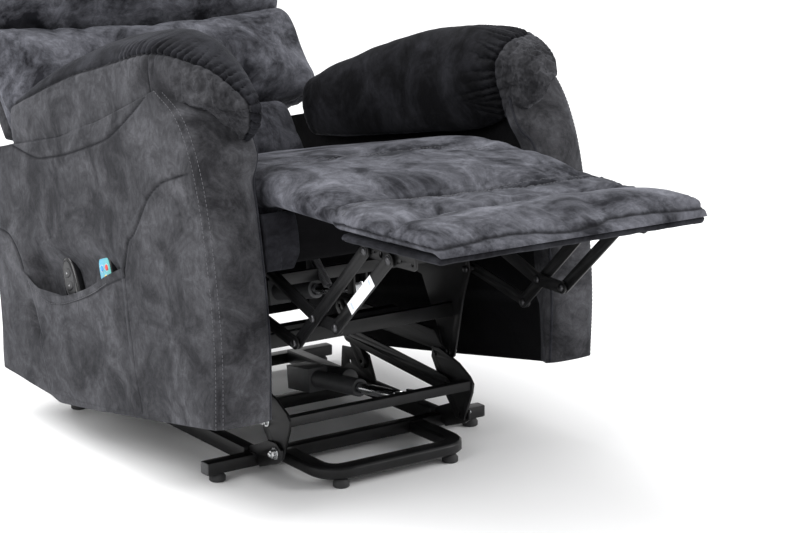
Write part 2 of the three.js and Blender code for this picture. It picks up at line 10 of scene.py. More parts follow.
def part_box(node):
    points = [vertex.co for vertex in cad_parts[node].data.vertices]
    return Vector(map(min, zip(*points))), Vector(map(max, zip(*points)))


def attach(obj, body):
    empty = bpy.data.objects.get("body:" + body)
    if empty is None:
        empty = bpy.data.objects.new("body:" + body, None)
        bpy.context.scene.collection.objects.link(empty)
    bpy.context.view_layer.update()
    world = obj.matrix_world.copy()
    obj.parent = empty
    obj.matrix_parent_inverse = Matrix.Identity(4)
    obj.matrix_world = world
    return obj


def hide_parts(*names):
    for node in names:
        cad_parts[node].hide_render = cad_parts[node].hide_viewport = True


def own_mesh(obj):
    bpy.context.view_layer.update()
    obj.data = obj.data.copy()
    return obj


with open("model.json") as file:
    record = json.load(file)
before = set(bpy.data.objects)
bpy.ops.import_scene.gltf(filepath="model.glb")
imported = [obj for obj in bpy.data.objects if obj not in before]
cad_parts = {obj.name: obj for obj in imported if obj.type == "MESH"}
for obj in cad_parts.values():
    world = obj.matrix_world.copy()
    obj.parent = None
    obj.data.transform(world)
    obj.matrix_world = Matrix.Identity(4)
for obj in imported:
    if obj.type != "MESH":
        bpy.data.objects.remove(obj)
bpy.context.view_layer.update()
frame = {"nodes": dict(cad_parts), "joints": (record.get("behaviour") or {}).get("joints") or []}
MM = 0.001
SIDES = (("right", -1), ("left", 1))

# ---------------------------------------------------------------- frames of reference
# Shapes are drawn in millimetres in one of three frames: "floor" for the base, "level" for the
# upholstered frame before it tilts back, and "back" along the reclining back from its hinge.
PIVOT = {j["name"]: np.array(j["pos_m"]) / MM for j in frame["joints"] if "pos_m" in j}
TILT_BACK = math.radians(9.6)
BACK_LEAN = math.radians(30)
LIFT_TOP = np.array([0.0, -2.0, 155.0])  # the tilt pivot, as the level frame draws it
SHIFT = PIVOT["tilt"] - LIFT_TOP  # floor drawing to row frame


def leaned(points, angle, about=(0, 0, 0)):
    """Turns points back by the angle about an axis along x."""
    p = np.asarray(points, float) - about
    c, s = math.cos(angle), math.sin(angle)
    return np.stack([p[..., 0], p[..., 1] * c + p[..., 2] * s, p[..., 2] * c - p[..., 1] * s], -1)


def from_floor(points):
    return (np.asarray(points, float) + SHIFT) * MM


def from_level(points):
    return (leaned(points, TILT_BACK, LIFT_TOP) + PIVOT["tilt"]) * MM


def to_level(points):
    return leaned(np.asarray(points, float) / MM, -TILT_BACK, PIVOT["tilt"]) + LIFT_TOP


BACK_HINGE = to_level(PIVOT["recline"] * MM)


def from_back(points):
    return from_level(leaned(points, BACK_LEAN) + BACK_HINGE)


def level_box(node):
    """Lowest and highest corner of a CAD node, in the level frame."""
    corners = np.array([v.co for v in frame["nodes"][node].data.vertices])
    local = to_level(corners)
    return local.min(0), local.max(0)


# ---------------------------------------------------------------- curves and fields
def smooth_path(points, step=2.0):
    """A Catmull-Rom curve through the points, sampled evenly."""
    p = np.asarray(points, float)
    p = np.vstack([2 * p[0] - p[1], p, 2 * p[-1] - p[-2]])
    t = np.linspace(0, 1, 24, endpoint=False)[:, None]
    parts = []
    for a, b, c, d in zip(p[:-3], p[1:-2], p[2:-1], p[3:]):
        parts.append(0.5 * (2 * b + (c - a) * t + (2 * a - 5 * b + 4 * c - d) * t**2
                            + (3 * b - a - 3 * c + d) * t**3))
    dense = np.vstack([*parts, p[-2]])
    run = np.concatenate([[0], np.cumsum(np.linalg.norm(np.diff(dense, axis=0), axis=1))])
    at = np.linspace(0, run[-1], max(2, int(run[-1] / step) + 1))
    return np.stack([np.interp(at, run, dense[:, i]) for i in range(p.shape[1])], -1)


def ease(value, low, high):
    """0 below low, 1 above high, and smooth between."""
    t = np.clip((np.asarray(value, float) - low) / (high - low), 0, 1)
    return t * t * (3 - 2 * t)


def bell(distance, width):
    """1 on a line and falling smoothly to 0 a few widths away from it."""
    return np.exp(-((distance / width) ** 2))


def fbm(points, size, seed=0, octaves=3):
    """Smooth noise with features of about the given size, roughly -1 to 1."""
    offset = Vector((seed * 17.3, seed * -9.1, seed * 5.7))
    flat = np.asarray(points, float).reshape(-1, 3) / size
    values = [noise.fractal(Vector(p) + offset, 0.8, 2.1, octaves) for p in flat]
    return np.array(values).reshape(np.asarray(points).shape[:-1])


class Path:
    """A sampled line that answers how far points are from it, and where along it."""

    def __init__(self, points, step=2.0):
        self.at = smooth_path(points, step)
        self.step = step
        self.tree = kdtree.KDTree(len(self.at))
        for i, p in enumerate(self.at):
            self.tree.insert(Vector(p), i)
        self.tree.balance()
        self.along = np.gradient(self.at, axis=0)
        self.along /= np.linalg.norm(self.along, axis=1)[:, None]

    def near(self, points):
        """Distance, arc position, index and offset from the nearest sample."""
        flat = np.asarray(points, float).reshape(-1, 3)
        found = [self.tree.find(Vector(p)) for p in flat]
        index = np.array([f[1] for f in found])
        distance = np.array([f[2] for f in found])
        shape = np.asarray(points).shape[:-1]
        offset = (flat - self.at[index]).reshape(*shape, 3)
        return distance.reshape(shape), (index * self.step).reshape(shape), \
            index.reshape(shape), offset


def groove(distance, depth=2.0, width=2.4):
    """A sewn seam: a narrow valley between two slightly raised lips."""
    lips = 0.35 * depth * np.exp(-(((distance - 3.2 * width) / (1.6 * width)) ** 2))
    return lips - depth * bell(distance, width)


# ---------------------------------------------------------------- mesh building
def grid_faces(rows, columns, wrap=False):
    index = np.arange(rows * columns).reshape(rows, columns)
    if wrap:
        index = np.concatenate([index, index[:, :1]], 1)
    return np.stack([index[:-1, :-1], index[:-1, 1:], index[1:, 1:], index[1:, :-1]],
                    -1).reshape(-1, 4)


def grid_normals(points, wrap=False):
    """Unit normals of a grid of points."""
    if wrap:
        closed = np.concatenate([points[:, -1:], points, points[:, :1]], 1)
        across = (closed[:, 2:] - closed[:, :-2])
    else:
        across = np.gradient(points, axis=1)
    normal = np.cross(np.gradient(points, axis=0), across)
    return normal / np.maximum(np.linalg.norm(normal, axis=-1, keepdims=True), 1e-9)


def mesh_object(name, points, faces, materials, face_material=None, seam_and_shade=None):
    """A smooth-shaded object from points in metres. The optional seam weights, one number for each
    point, darken seam lines and paint shade into creases and gaps.
    """
    mesh = bpy.data.meshes.new(name)
    mesh.from_pydata(np.asarray(points, float).reshape(-1, 3).tolist(), [],
                     [list(map(int, f)) for f in faces])
    for material in materials:
        mesh.materials.append(material)
    if face_material is not None:
        mesh.polygons.foreach_set("material_index", np.asarray(face_material, np.int32))
    mesh.polygons.foreach_set("use_smooth", np.ones(len(mesh.polygons), bool))
    if seam_and_shade is not None:
        layer = mesh.attributes.new("seam_and_shade", "FLOAT", "POINT")
        layer.data.foreach_set("value", np.asarray(seam_and_shade, np.float32).reshape(-1))
    box = bmesh.new()
    box.from_mesh(mesh)
    bmesh.ops.recalc_face_normals(box, faces=box.faces)
    box.to_mesh(mesh)
    box.free()
    obj = bpy.data.objects.new(name, mesh)
    bpy.context.scene.collection.objects.link(obj)
    return obj


def piece(obj, body, replaces=()):
    """Declares what a finished object rides on and stands for."""
    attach(obj, body)
    if replaces:
        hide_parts(*replaces)
    return obj


def add(name, points, faces, material, body, replaces=()):
    return piece(mesh_object(name, points, faces, [material]), body, replaces)


def sharpen(obj, degrees):
    """Keeps every edge sharper than the angle crisp."""
    obj.modifiers.new("edges", "EDGE_SPLIT").split_angle = math.radians(degrees)


def tube_mesh(path, radius, sides=8):
    """Points and faces of a round tube along a path, closed at both ends."""
    path = np.asarray(path, float)
    along = np.gradient(path, axis=0)
    along /= np.linalg.norm(along, axis=1)[:, None]
    up = np.array([0.31, 0.17, 0.94])
    first = np.cross(along, up)
    first /= np.linalg.norm(first, axis=1)[:, None]
    second = np.cross(along, first)
    turn = np.linspace(0, 2 * math.pi, sides, endpoint=False)
    radii = np.broadcast_to(np.asarray(radius, float), (len(path),))[:, None, None]
    ring = (np.cos(turn)[None, :, None] * first[:, None] + np.sin(turn)[None, :, None]
            * second[:, None]) * radii
    points = (path[:, None] + ring).reshape(-1, 3)
    faces = grid_faces(len(path), sides, wrap=True).tolist()
    faces += [list(range(sides))[::-1], list(range(len(points) - sides, len(points)))]
    return points, faces


def merged(parts):
    """Joins several (points, faces) into one."""
    points, faces, start = [], [], 0
    for p, f in parts:
        points.append(np.asarray(p, float))
        faces += [[i + start for i in face] for face in f]
        start += len(p)
    return np.vstack(points), faces


def lathe_mesh(profile, sides=24):
    """Points and faces of [radius, height] turned about z, with its ends on the axis closed."""
    turn = np.linspace(0, 2 * math.pi, sides, endpoint=False)
    rings = np.array([[[r * math.cos(t), r * math.sin(t), h] for t in turn] for r, h in profile])
    faces = grid_faces(len(profile), sides, wrap=True).tolist()
    faces += [list(range(sides))[::-1], list(range((len(profile) - 1) * sides,
                                                   len(profile) * sides))]
    return rings.reshape(-1, 3), faces


# ---------------------------------------------------------------- materials
def new_material(name, color, roughness, metallic=0.0):
    material = bpy.data.materials.new(name)
    material.use_nodes = True
    tree = material.node_tree
    shader = tree.nodes["Principled BSDF"]
    shader.inputs["Base Color"].default_value = (*color, 1)
    shader.inputs["Roughness"].default_value = roughness
    shader.inputs["Metallic"].default_value = metallic
    return material, tree, shader


def noise_node(tree, source, scale, detail, rough=0.55, distortion=0.0):
    node = tree.nodes.new("ShaderNodeTexNoise")
    node.inputs["Scale"].default_value = scale
    node.inputs["Detail"].default_value = detail
    node.inputs["Roughness"].default_value = rough
    node.inputs["Distortion"].default_value = distortion
    tree.links.new(source, node.inputs["Vector"])
    return node.outputs["Fac"]


def ramp_node(tree, source, stops):
    node = tree.nodes.new("ShaderNodeValToRGB")
    ramp = node.color_ramp
    while len(ramp.elements) < len(stops):
        ramp.elements.new(0.5)
    for element, (at, color) in zip(ramp.elements, stops):
        element.position = at
        element.color = (*color, 1)
    tree.links.new(source, node.inputs["Fac"])
    return node.outputs["Color"]


def mix_node(tree, kind, factor, a, b):
    node = tree.nodes.new("ShaderNodeMix")
    node.data_type = "RGBA"
    node.blend_type = kind
    if isinstance(factor, float):
        node.inputs["Factor"].default_value = factor
    else:
        tree.links.new(factor, node.inputs["Factor"])
    for value, target in ((a, node.inputs[6]), (b, node.inputs[7])):
        if isinstance(value, tuple):
            target.default_value = (*value, 1)
        else:
            tree.links.new(value, target)
    return node.outputs[2]


def bump_node(tree, height, strength, distance, normal=None):
    node = tree.nodes.new("ShaderNodeBump")
    node.inputs["Strength"].default_value = strength
    node.inputs["Distance"].default_value = distance
    tree.links.new(height, node.inputs["Height"])
    if normal is not None:
        tree.links.new(normal, node.inputs["Normal"])
    return node.outputs["Normal"]


def stretched(tree, source, scale):
    node = tree.nodes.new("ShaderNodeMapping")
    node.inputs["Scale"].default_value = scale
    tree.links.new(source, node.inputs["Vector"])
    return node.outputs["Vector"]


GREY_GRAIN = ((0.3, (0.3,) * 3), (0.7, (0.7,) * 3))


def object_space(tree):
    return tree.nodes.new("ShaderNodeTexCoord").outputs["Object"]


def velour(name, dark, light, contrast=0.5, sheen=0.35):
    """Brushed microsuede: cloudy light and dark nap, fine streaks, pile grain, dark seams, and
    painted shade in creases and gaps.
    """
    material, tree, shader = new_material(name, dark, 0.82)
    at = object_space(tree)
    cloud = noise_node(tree, at, 9, 9, 0.68, 0.7)
    tone = ramp_node(tree, cloud, ((0.5 - 0.3 * contrast, dark), (0.52, tuple(
        0.5 * (a + b) for a, b in zip(dark, light))), (0.5 + 0.42 * contrast, light)))
    streak = noise_node(tree, stretched(tree, at, (60, 60, 26)), 3, 5, 0.65, 0.4)
    tone = mix_node(tree, "OVERLAY", 0.3, tone, ramp_node(
        tree, streak, ((0.25, (0.28,) * 3), (0.78, (0.74,) * 3))))
    patch = noise_node(tree, at, 34, 4, 0.7, 1.5)
    tone = mix_node(tree, "OVERLAY", 0.5, tone, ramp_node(
        tree, patch, ((0.38, (0.26,) * 3), (0.64, (0.76,) * 3))))
    grain = noise_node(tree, at, 900, 3, 0.7)
    tone = mix_node(tree, "OVERLAY", 0.42, tone, ramp_node(
        tree, grain, GREY_GRAIN))
    # Near-black mixed in by the per-point seam weights: seam lines, and painted shade in pleat
    # valleys, cushion gaps and dimples.
    seam_and_shade = tree.nodes.new("ShaderNodeAttribute")
    seam_and_shade.attribute_name = "seam_and_shade"
    tone = mix_node(tree, "MIX", seam_and_shade.outputs["Fac"], tone, (0.003, 0.003, 0.004))
    tree.links.new(tone, shader.inputs["Base Color"])
    shader.inputs["Sheen Weight"].default_value = sheen
    shader.inputs["Sheen Roughness"].default_value = 0.45
    shader.inputs["Sheen Tint"].default_value = (0.72, 0.75, 0.86, 1)
    shader.inputs["Specular IOR Level"].default_value = 0.08
    soft = bump_node(tree, patch, 0.18, 0.004)
    fine = bump_node(tree, grain, 0.35, 0.0007, soft)
    tree.links.new(fine, shader.inputs["Normal"])
    return material


def vary_roughness(tree, shader, source, low, high):
    rough = tree.nodes.new("ShaderNodeMapRange")
    rough.inputs["To Min"].default_value = low
    rough.inputs["To Max"].default_value = high
    tree.links.new(source, rough.inputs["Value"])
    tree.links.new(rough.outputs["Result"], shader.inputs["Roughness"])


def coated_steel():
    """Satin black powder coat with fine orange peel and faint handling marks."""
    material, tree, shader = new_material("black_steel", (0.006, 0.006, 0.007), 0.4)
    at = object_space(tree)
    peel = noise_node(tree, at, 700, 2)
    wear = noise_node(tree, at, 16, 5, 0.7, 0.6)
    vary_roughness(tree, shader, wear, 0.26, 0.5)
    tree.links.new(ramp_node(tree, wear, ((0.3, (0.003,) * 3), (0.75, (0.01, 0.01, 0.011)))),
              shader.inputs["Base Color"])
    tree.links.new(bump_node(tree, peel, 0.12, 0.0004), shader.inputs["Normal"])
    shader.inputs["Specular IOR Level"].default_value = 0.24
    return material


def plated(name, color, low, high):
    """Bare or zinc-plated metal with a brushed, slightly stained surface."""
    material, tree, shader = new_material(name, color, low, 1.0)
    at = object_space(tree)
    stain = noise_node(tree, at, 90, 5, 0.7, 0.5)
    vary_roughness(tree, shader, stain, low, high)
    tree.links.new(ramp_node(tree, stain, ((0.3, tuple(0.7 * c for c in color)), (0.7, color))),
              shader.inputs["Base Color"])
    tree.links.new(bump_node(tree, noise_node(tree, at, 1500, 2), 0.1, 0.0003),
              shader.inputs["Normal"])
    return material


def woven(name, color):
    """Thin black lining cloth with a plain weave and soft creases."""
    material, tree, shader = new_material(name, color, 0.85)
    at = object_space(tree)
    waves = []
    for direction in ("Y", "Z"):
        wave = tree.nodes.new("ShaderNodeTexWave")
        wave.bands_direction = direction
        wave.inputs["Scale"].default_value = 260
        wave.inputs["Distortion"].default_value = 0.6
        tree.links.new(at, wave.inputs["Vector"])
        waves.append(wave.outputs["Color"])
    weave = mix_node(tree, "MULTIPLY", 1.0, *waves)
    crease = noise_node(tree, at, 14, 4, 0.55, 0.4)
    tree.links.new(mix_node(tree, "MIX", crease, color, tuple(2.1 * c for c in color)),
              shader.inputs["Base Color"])
    normal = bump_node(tree, crease, 0.5, 0.01)
    tree.links.new(bump_node(tree, weave, 0.25, 0.0004, normal), shader.inputs["Normal"])
    shader.inputs["Specular IOR Level"].default_value = 0.06
    return material


def moulded(name, color, roughness, grain=1100, strength=0.12):
    """Moulded plastic or rubber with a fine texture and slight colour variation."""
    material, tree, shader = new_material(name, color, roughness)
    at = object_space(tree)
    blotch = noise_node(tree, at, 60, 4)
    tree.links.new(ramp_node(tree, blotch, ((0.3, tuple(0.82 * c for c in color)),
                                               (0.7, tuple(1.12 * c for c in color)))),
              shader.inputs["Base Color"])
    tree.links.new(bump_node(tree, noise_node(tree, at, grain, 2), strength, 0.0004),
              shader.inputs["Normal"])
    return material


def plywood():
    """Pale plywood with long grain and darker ply lines."""
    material, tree, shader = new_material("plywood", (0.42, 0.28, 0.16), 0.62)
    at = object_space(tree)
    grain = noise_node(tree, stretched(tree, at, (3, 70, 90)), 2.2, 6, 0.6, 0.8)
    tree.links.new(ramp_node(tree, grain, ((0.28, (0.26, 0.16, 0.08)),
                                              (0.7, (0.5, 0.36, 0.22)))),
              shader.inputs["Base Color"])
    tree.links.new(bump_node(tree, grain, 0.2, 0.001), shader.inputs["Normal"])
    return material


def key_face():
    """The remote's face film, fading from blue at the top to green."""
    material, tree, shader = new_material("face_film", (0.05, 0.3, 0.25), 0.4)
    at = tree.nodes.new("ShaderNodeTexCoord").outputs["Generated"]
    split = tree.nodes.new("ShaderNodeSeparateXYZ")
    tree.links.new(at, split.inputs["Vector"])
    fade = ramp_node(tree, split.outputs["Y"], ((0.1, (0.09, 0.4, 0.25)),
                                                        (0.9, (0.05, 0.34, 0.5))))
    speck = noise_node(tree, object_space(tree), 1400, 2)
    tree.links.new(mix_node(tree, "OVERLAY", 0.1, fade, ramp_node(
        tree, speck, GREY_GRAIN)),
        shader.inputs["Base Color"])
    shader.inputs["Coat Weight"].default_value = 0.3
    return material


M = {
    "side": velour("velour_side", (0.017, 0.017, 0.019), (0.064, 0.064, 0.07), 0.36, 0.08),
    "band": velour("velour_band", (0.003, 0.003, 0.0042), (0.022, 0.0225, 0.027), 0.36, 0.06),
    # A darker copy of the band velour: painted shade for the far pad's band.
    "painted_shade": velour("velour_painted_shade", (0.0015, 0.0015, 0.002), (0.014, 0.0142, 0.017), 0.3, 0.03),
    "seat": velour("velour_seat", (0.01, 0.0102, 0.013), (0.124, 0.126, 0.145), 0.36, 0.07),
    "lining": woven("black_lining", (0.0028, 0.0028, 0.0032)),
    "thread": moulded("thread", (0.085, 0.086, 0.096), 0.7),
    # Piping velour, darker than the panels; along the arm fronts its darkness also stands for the
    # shadow gap under the pads, as painted shade.
    "piping": velour("velour_piping_gap_shade", (0.01, 0.01, 0.013), (0.035, 0.036, 0.042), 0.5, 0.1),
    "steel": coated_steel(),
    "zinc": plated("zinc", (0.72, 0.73, 0.74), 0.18, 0.4),
    "rod": plated("bright_rod", (0.62, 0.63, 0.65), 0.1, 0.25),
    "rivet": plated("dark_rivet", (0.09, 0.09, 0.095), 0.3, 0.5),
    "rubber": moulded("black_rubber", (0.016, 0.016, 0.017), 0.72),
    "plastic": moulded("grey_plastic", (0.05, 0.051, 0.054), 0.5),
    "gloss": moulded("gloss_plastic", (0.009, 0.009, 0.01), 0.16, 300, 0.02),
    "keypad": moulded("keypad_rubber", (0.02, 0.02, 0.022), 0.5),
    "mark": moulded("mark_grey", (0.3, 0.3, 0.31), 0.6),
    "film": key_face(),
    "blue": moulded("blue_key", (0.05, 0.3, 0.62), 0.4),
    "red": moulded("red_key", (0.6, 0.045, 0.04), 0.4),
    "yellow": moulded("yellow_key", (0.75, 0.5, 0.05), 0.4),
    "label": moulded("blank_label", (0.72, 0.73, 0.75), 0.45),
    "label_bar": moulded("label_bar", (0.45, 0.52, 0.66), 0.5),
    "wood": plywood(),
}

# ---------------------------------------------------------------- sewing
def stitched(name, paths, onto, body, length=4.6, gap=2.6, radius=0.55, lift=0.25):
    """Rows of short thread stitches lying on a finished piece, along level-frame paths."""
    surface = onto.matrix_world.inverted()
    parts = []
    for path in paths:
        line = smooth_path(path, 0.5 * (length + gap)) * MM
        for i in range(0, len(line) - 1, 2):
            hit = [onto.closest_point_on_mesh(surface @ Vector(p)) for p in line[i:i + 2]]
            ends = [np.array(h[1] + h[2] * (lift * MM)) for h in hit]
            gone = ends[1] - ends[0]
            size = np.linalg.norm(gone)
            if size < 0.2 * length * MM:
                continue
            reach = gone / size * (0.5 * length * MM)
            middle = (ends[0] + ends[1]) / 2
            shares = (-1, -0.8, 0.8, 1)
            row = np.array([middle + s * reach for s in shares])
            parts.append(tube_mesh(row, np.array([0.35, 1, 1, 0.35]) * radius * MM, 5))
    points, faces = merged(parts)
    obj = mesh_object(name, points, faces, [M["thread"]])
    return piece(obj, body)


def cord_on(name, path, onto, body, radius, material, lift=0.0):
    """A fabric-covered piping cord pressed onto a finished piece, along a level-frame path."""
    line = smooth_path(path, 3.0) * MM
    hits = [onto.closest_point_on_mesh(Vector(p)) for p in line]
    seated = np.array([np.array(h[1] + h[2] * (lift * MM)) for h in hits])
    for _ in range(3):
        seated[1:-1] = (seated[:-2] + 2 * seated[1:-1] + seated[2:]) / 4
    points, faces = tube_mesh(seated, radius * MM, 10)
    return piece(mesh_object(name, points, faces, [material]), body)


# ---------------------------------------------------------------- arms
ARM_LOW, ARM_HIGH = level_box("arm_left")
ARM_OUTER = ARM_HIGH[0]
ARM_INNER = ARM_LOW[0]
ARM_INNER_LOW = 306  # inner face below the seat, cut back to clear the base
LOW_INNER_TOP = 252
ARM_BOTTOM = ((-215, 134), (316, 134), (404, 147), (614, 190))
ARM_FRONT = ((-215, 134), (-238, 262), (-243, 400), (-232, 541), (-193, 640), (-125, 694))
ARM_TOP = ((-125, 694), (85, 652), (249, 626), (474, 618), (596, 612))
ARM_REAR = ((614, 190), (598, 330), (596, 612))
FRONT_RADIUS = 17
REAR_RADIUS = 10
POCKET_MOUTH = ((41, 399), (111, 381), (174, 360), (259, 343), (323, 337), (376, 345),
                (443, 371), (457, 386))
POCKET_FRONT = ((41, 139), (44, 218), (43, 306), (41, 399))
POCKET_REAR = ((405, 151), (414, 231), (434, 307), (457, 386))
FRONT_SEAM_UPPER = ((41, 399), (20, 440), (-11, 461), (-67, 516), (-120, 541), (-161, 549),
                    (-229, 557))
REAR_SEAM_UPPER = ((457, 386), (468, 410), (503, 448), (555, 460), (597, 462))
UNDER_PAD_SEAM = ((474, 621), (363, 593), (290, 592), (216, 597), (130, 608), (55, 621),
                  (-20, 652), (-89, 686))


def resampled(points, count):
    line = smooth_path(points, 1.0)
    return line[np.linspace(0, len(line) - 1, count).round().astype(int)]


def filled_patch(edges, u, v):
    """(y, z) inside four edge lines: low, high, front and rear. u runs to the rear and v up."""
    low, high, front, rear = edges
    rows = len(low)

    def at(edge, share):
        where = np.clip(share, 0, 1) * (rows - 1)
        index = np.arange(rows)
        return np.stack([np.interp(where, index, edge[:, i]) for i in (0, 1)], -1)

    u1, v1 = u[..., None], v[..., None]
    blend = (1 - v1) * at(low, u) + v1 * at(high, u) + (1 - u1) * at(front, v) + u1 * at(rear, v)
    return blend - ((1 - u1) * (1 - v1) * low[0] + u1 * (1 - v1) * low[-1]
                    + (1 - u1) * v1 * high[0] + u1 * v1 * high[-1])


def arm_sheet(u, v):
    """(y, z) on the arm's side outline, u from front to rear and v from bottom to top."""
    edges = [resampled(p, 241) for p in (ARM_BOTTOM, ARM_TOP, ARM_FRONT, ARM_REAR)]
    return filled_patch(edges, u, v)


def side_path(points, side, x=None):
    """A path drawn in (y, z) on the arm's outer face."""
    return [(side * (ARM_OUTER if x is None else x), y, z) for y, z in points]


def build_arm(name, side):
    """The padded arm box: outer and front panels in velour, lining on the inner face."""
    length = 812.0
    outer_u = np.linspace(FRONT_RADIUS / length, 1 - REAR_RADIUS / length, 250)
    corner = np.linspace(0, 0.5 * math.pi, 7)[1:-1]
    width = ARM_OUTER - ARM_INNER
    across = np.linspace(FRONT_RADIUS, width - FRONT_RADIUS, 26)
    ring = []  # (u offset in mm from the front, x from the inner face)
    ring += [(u * length, width) for u in outer_u]
    ring += [(length - REAR_RADIUS * (1 - math.sin(a)), width - REAR_RADIUS * (1 - math.cos(a)))
             for a in corner]
    ring += [(length, x) for x in across[::-3]]
    ring += [(length - REAR_RADIUS * (1 - math.cos(a)), REAR_RADIUS * (1 - math.sin(a)))
             for a in corner]
    ring += [(u * length, 0.0) for u in outer_u[::-2]]
    ring += [(FRONT_RADIUS * (1 - math.sin(a)), FRONT_RADIUS * (1 - math.cos(a)))
             for a in corner]
    ring += [(0.0, x) for x in across]
    ring += [(FRONT_RADIUS * (1 - math.cos(a)), width - FRONT_RADIUS * (1 - math.sin(a)))
             for a in corner]
    ring = np.array(ring)
    v = np.linspace(0, 1, 176)
    u = np.broadcast_to(ring[:, 0] / length, (len(v), len(ring)))
    sheet = arm_sheet(u, np.broadcast_to(v[:, None], u.shape))
    depth = np.broadcast_to(ring[:, 1], u.shape)
    low_inner = (ARM_INNER_LOW - ARM_INNER) * (1 - ease(sheet[..., 1], LOW_INNER_TOP - 12,
                                                        LOW_INNER_TOP + 12))
    x = ARM_INNER + np.maximum(depth, low_inner * ease(sheet[..., 0], -215, -175))
    swell = ease(sheet[..., 1], 520, 580) * (1 - ease(sheet[..., 1], 640, 690))
    x = x - 21 * swell * (1 - ease(u * length, 22, 70)) * (1 - ease(depth, 4, 44))
    points = np.stack([side * x, sheet[..., 0], sheet[..., 1]], -1)

    outward = np.stack([side * ease(depth, 0.5 * width, width),
                        -ease(1 - u, 1 - 30 / length, 1), np.zeros_like(u)], -1)
    outer = ease(depth, width - 2, width) * ease(u, 0.5 * FRONT_RADIUS / length,
                                                 2.5 * FRONT_RADIUS / length)
    edge = np.minimum(np.minimum(u, 1 - u) * length, np.minimum(v[:, None], 1 - v[:, None]) * 560)
    crown = 5.0 * ease(edge, 0, 90) + 1.6 * fbm(points, 150, 3)
    front = 1 - ease(u * length, 0, 2)
    front_crown = 9.0 * np.sin(np.pi * np.clip(depth / width, 0, 1)) * front

    seam_and_shade = np.zeros_like(u)
    dent = np.zeros_like(u)
    lines = [Path(side_path(UNDER_PAD_SEAM, side), 2)]
    if side < 0:
        lines += [Path(side_path(FRONT_SEAM_UPPER, side)), Path(side_path(REAR_SEAM_UPPER, side))]
    else:
        lines += [Path(side_path(((41, 139), (44, 218), (43, 306), (35, 401), (-11, 461),
                                  (-67, 516), (-161, 549), (-229, 557)), side))]
    flat = points.copy()
    flat[..., 0] = side * ARM_OUTER
    for line in lines:
        distance = line.near(flat)[0]
        dent += groove(distance) * outer
        seam_and_shade = np.maximum(seam_and_shade, bell(distance, 2.2) * outer)
    corner_line = Path([(side * (ARM_OUTER - 3), y + 3, z) for y, z in ARM_FRONT], 2)
    distance = corner_line.near(points)[0]
    on_front = bell(distance, 2.4)
    seam_and_shade = np.maximum(seam_and_shade, 0.9 * on_front)
    if side < 0:  # the panel sinks behind the pocket to hold the handset and remote
        middle = ease(points[..., 1], 50, 110) * (1 - ease(points[..., 1], 390, 452))
        height = ease(points[..., 2], 250, 290) * (1 - ease(points[..., 2], 372, 446))
        dent -= 31 * middle * height * outer
    points = points + np.stack([side * (crown * outer + dent), -front_crown,
                                np.zeros_like(u)], -1)
    points = points + outward * (-1.6 * on_front)[..., None]
    rows, columns = u.shape
    faces = grid_faces(rows, columns, wrap=True)
    lined = np.broadcast_to((depth[0] < 1) & (u[0] * length > 40), u.shape)
    cell = lined[:-1].reshape(-1)
    caps = [list(range(columns))[::-1], list(range((rows - 1) * columns, rows * columns))]
    obj = mesh_object(f"arm_box_{name}", from_level(points), [*faces.tolist(), *caps],
                      [M["side"], M["lining"]], np.concatenate([cell.astype(int), [1, 0]]), seam_and_shade)
    piece(obj, "chair_frame", [f"arm_{name}"])
    edge_seam = [from_level((side * (ARM_OUTER - 1), y + 9, z)) / MM for y, z in ARM_FRONT]
    rows = [edge_seam, [from_level((side * (ARM_OUTER - 9), y - 1, z)) / MM
                        for y, z in ARM_FRONT]]
    stitched(f"arm_front_stitching_{name}", rows, obj, "chair_frame")
    return obj


# ---------------------------------------------------------------- arm pads
# Cross sections along the pad: y, top, outer x, hem and seat heights
PAD_STATIONS = ((-170, 756, 382, 570, 668), (-125, 767, 394, 567, 686), (-40, 773, 398, 565, 669),
                (90, 770, 399, 565, 643), (260, 748, 399, 564, 617), (380, 724, 398, 566, 612),
                (446, 704, 398, 568, 610))
PAD_LOFT = {-1: 20, 1: -16}  # how far each pad's filling has risen or settled
PAD_INNER = level_box("arm_pad_left")[0][0]
NOSE_START = -79  # where the pad starts to narrow toward its tip
NOSE_LENGTH = 204
NOSE_TIP = (300.0, 640.0)
REAR_LENGTH = 40
PAD_SEAM_REAR = ((391, 484, 668), (387, 459, 690), (393, 351, 708), (394, 209, 731), (396, 79, 742),
                 (395, -18, 750), (392, -92, 755))
PAD_SEAMS = {
    -1: (*PAD_SEAM_REAR, (382, -148, 749), (369, -186, 739), (350, -214, 726), (336, -240, 703),
         (328, -256, 687), (320, -265, 674), (314, -273, 657), (311, -271, 643), (305, -255, 621),
         (300, -229, 601), (300, -196, 586)),
    1: (*PAD_SEAM_REAR, (376, -140, 748), (345, -172, 736), (304, -184, 724), (270, -184, 706),
        (257, -176, 682), (254, -178, 647), (262, -180, 609), (284, -166, 580)),
}


def pad_ring(top, outer, hem, seat, puff):
    """(x, z) round one cross section, from the outer hem over the top to the inner hem."""
    rise = top - seat
    drop = top - hem
    return smooth_path([
        (outer - 5, seat - 5), (outer - 1, seat + 0.12 * rise), (outer + 1, seat + 0.42 * rise),
        (outer - 4, seat + 0.68 * rise), (outer - 20, top - 0.14 * rise),
        (PAD_INNER + 82, top - 3), (PAD_INNER + 45, top), (PAD_INNER + 20, top - 0.05 * drop),
        (PAD_INNER + 3 - puff, top - 0.18 * drop), (PAD_INNER - 6 - puff, top - 0.4 * drop),
        (PAD_INNER - 6 - puff, top - 0.62 * drop), (PAD_INNER + 2 - 0.6 * puff, hem + 0.14 * drop),
        (PAD_INNER + 12, hem + 4), (ARM_INNER - 14, hem), (ARM_INNER + 6, hem + 8),
        (ARM_INNER + 14, hem + 24), (outer - 30, seat - 14),
    ], 1.0)


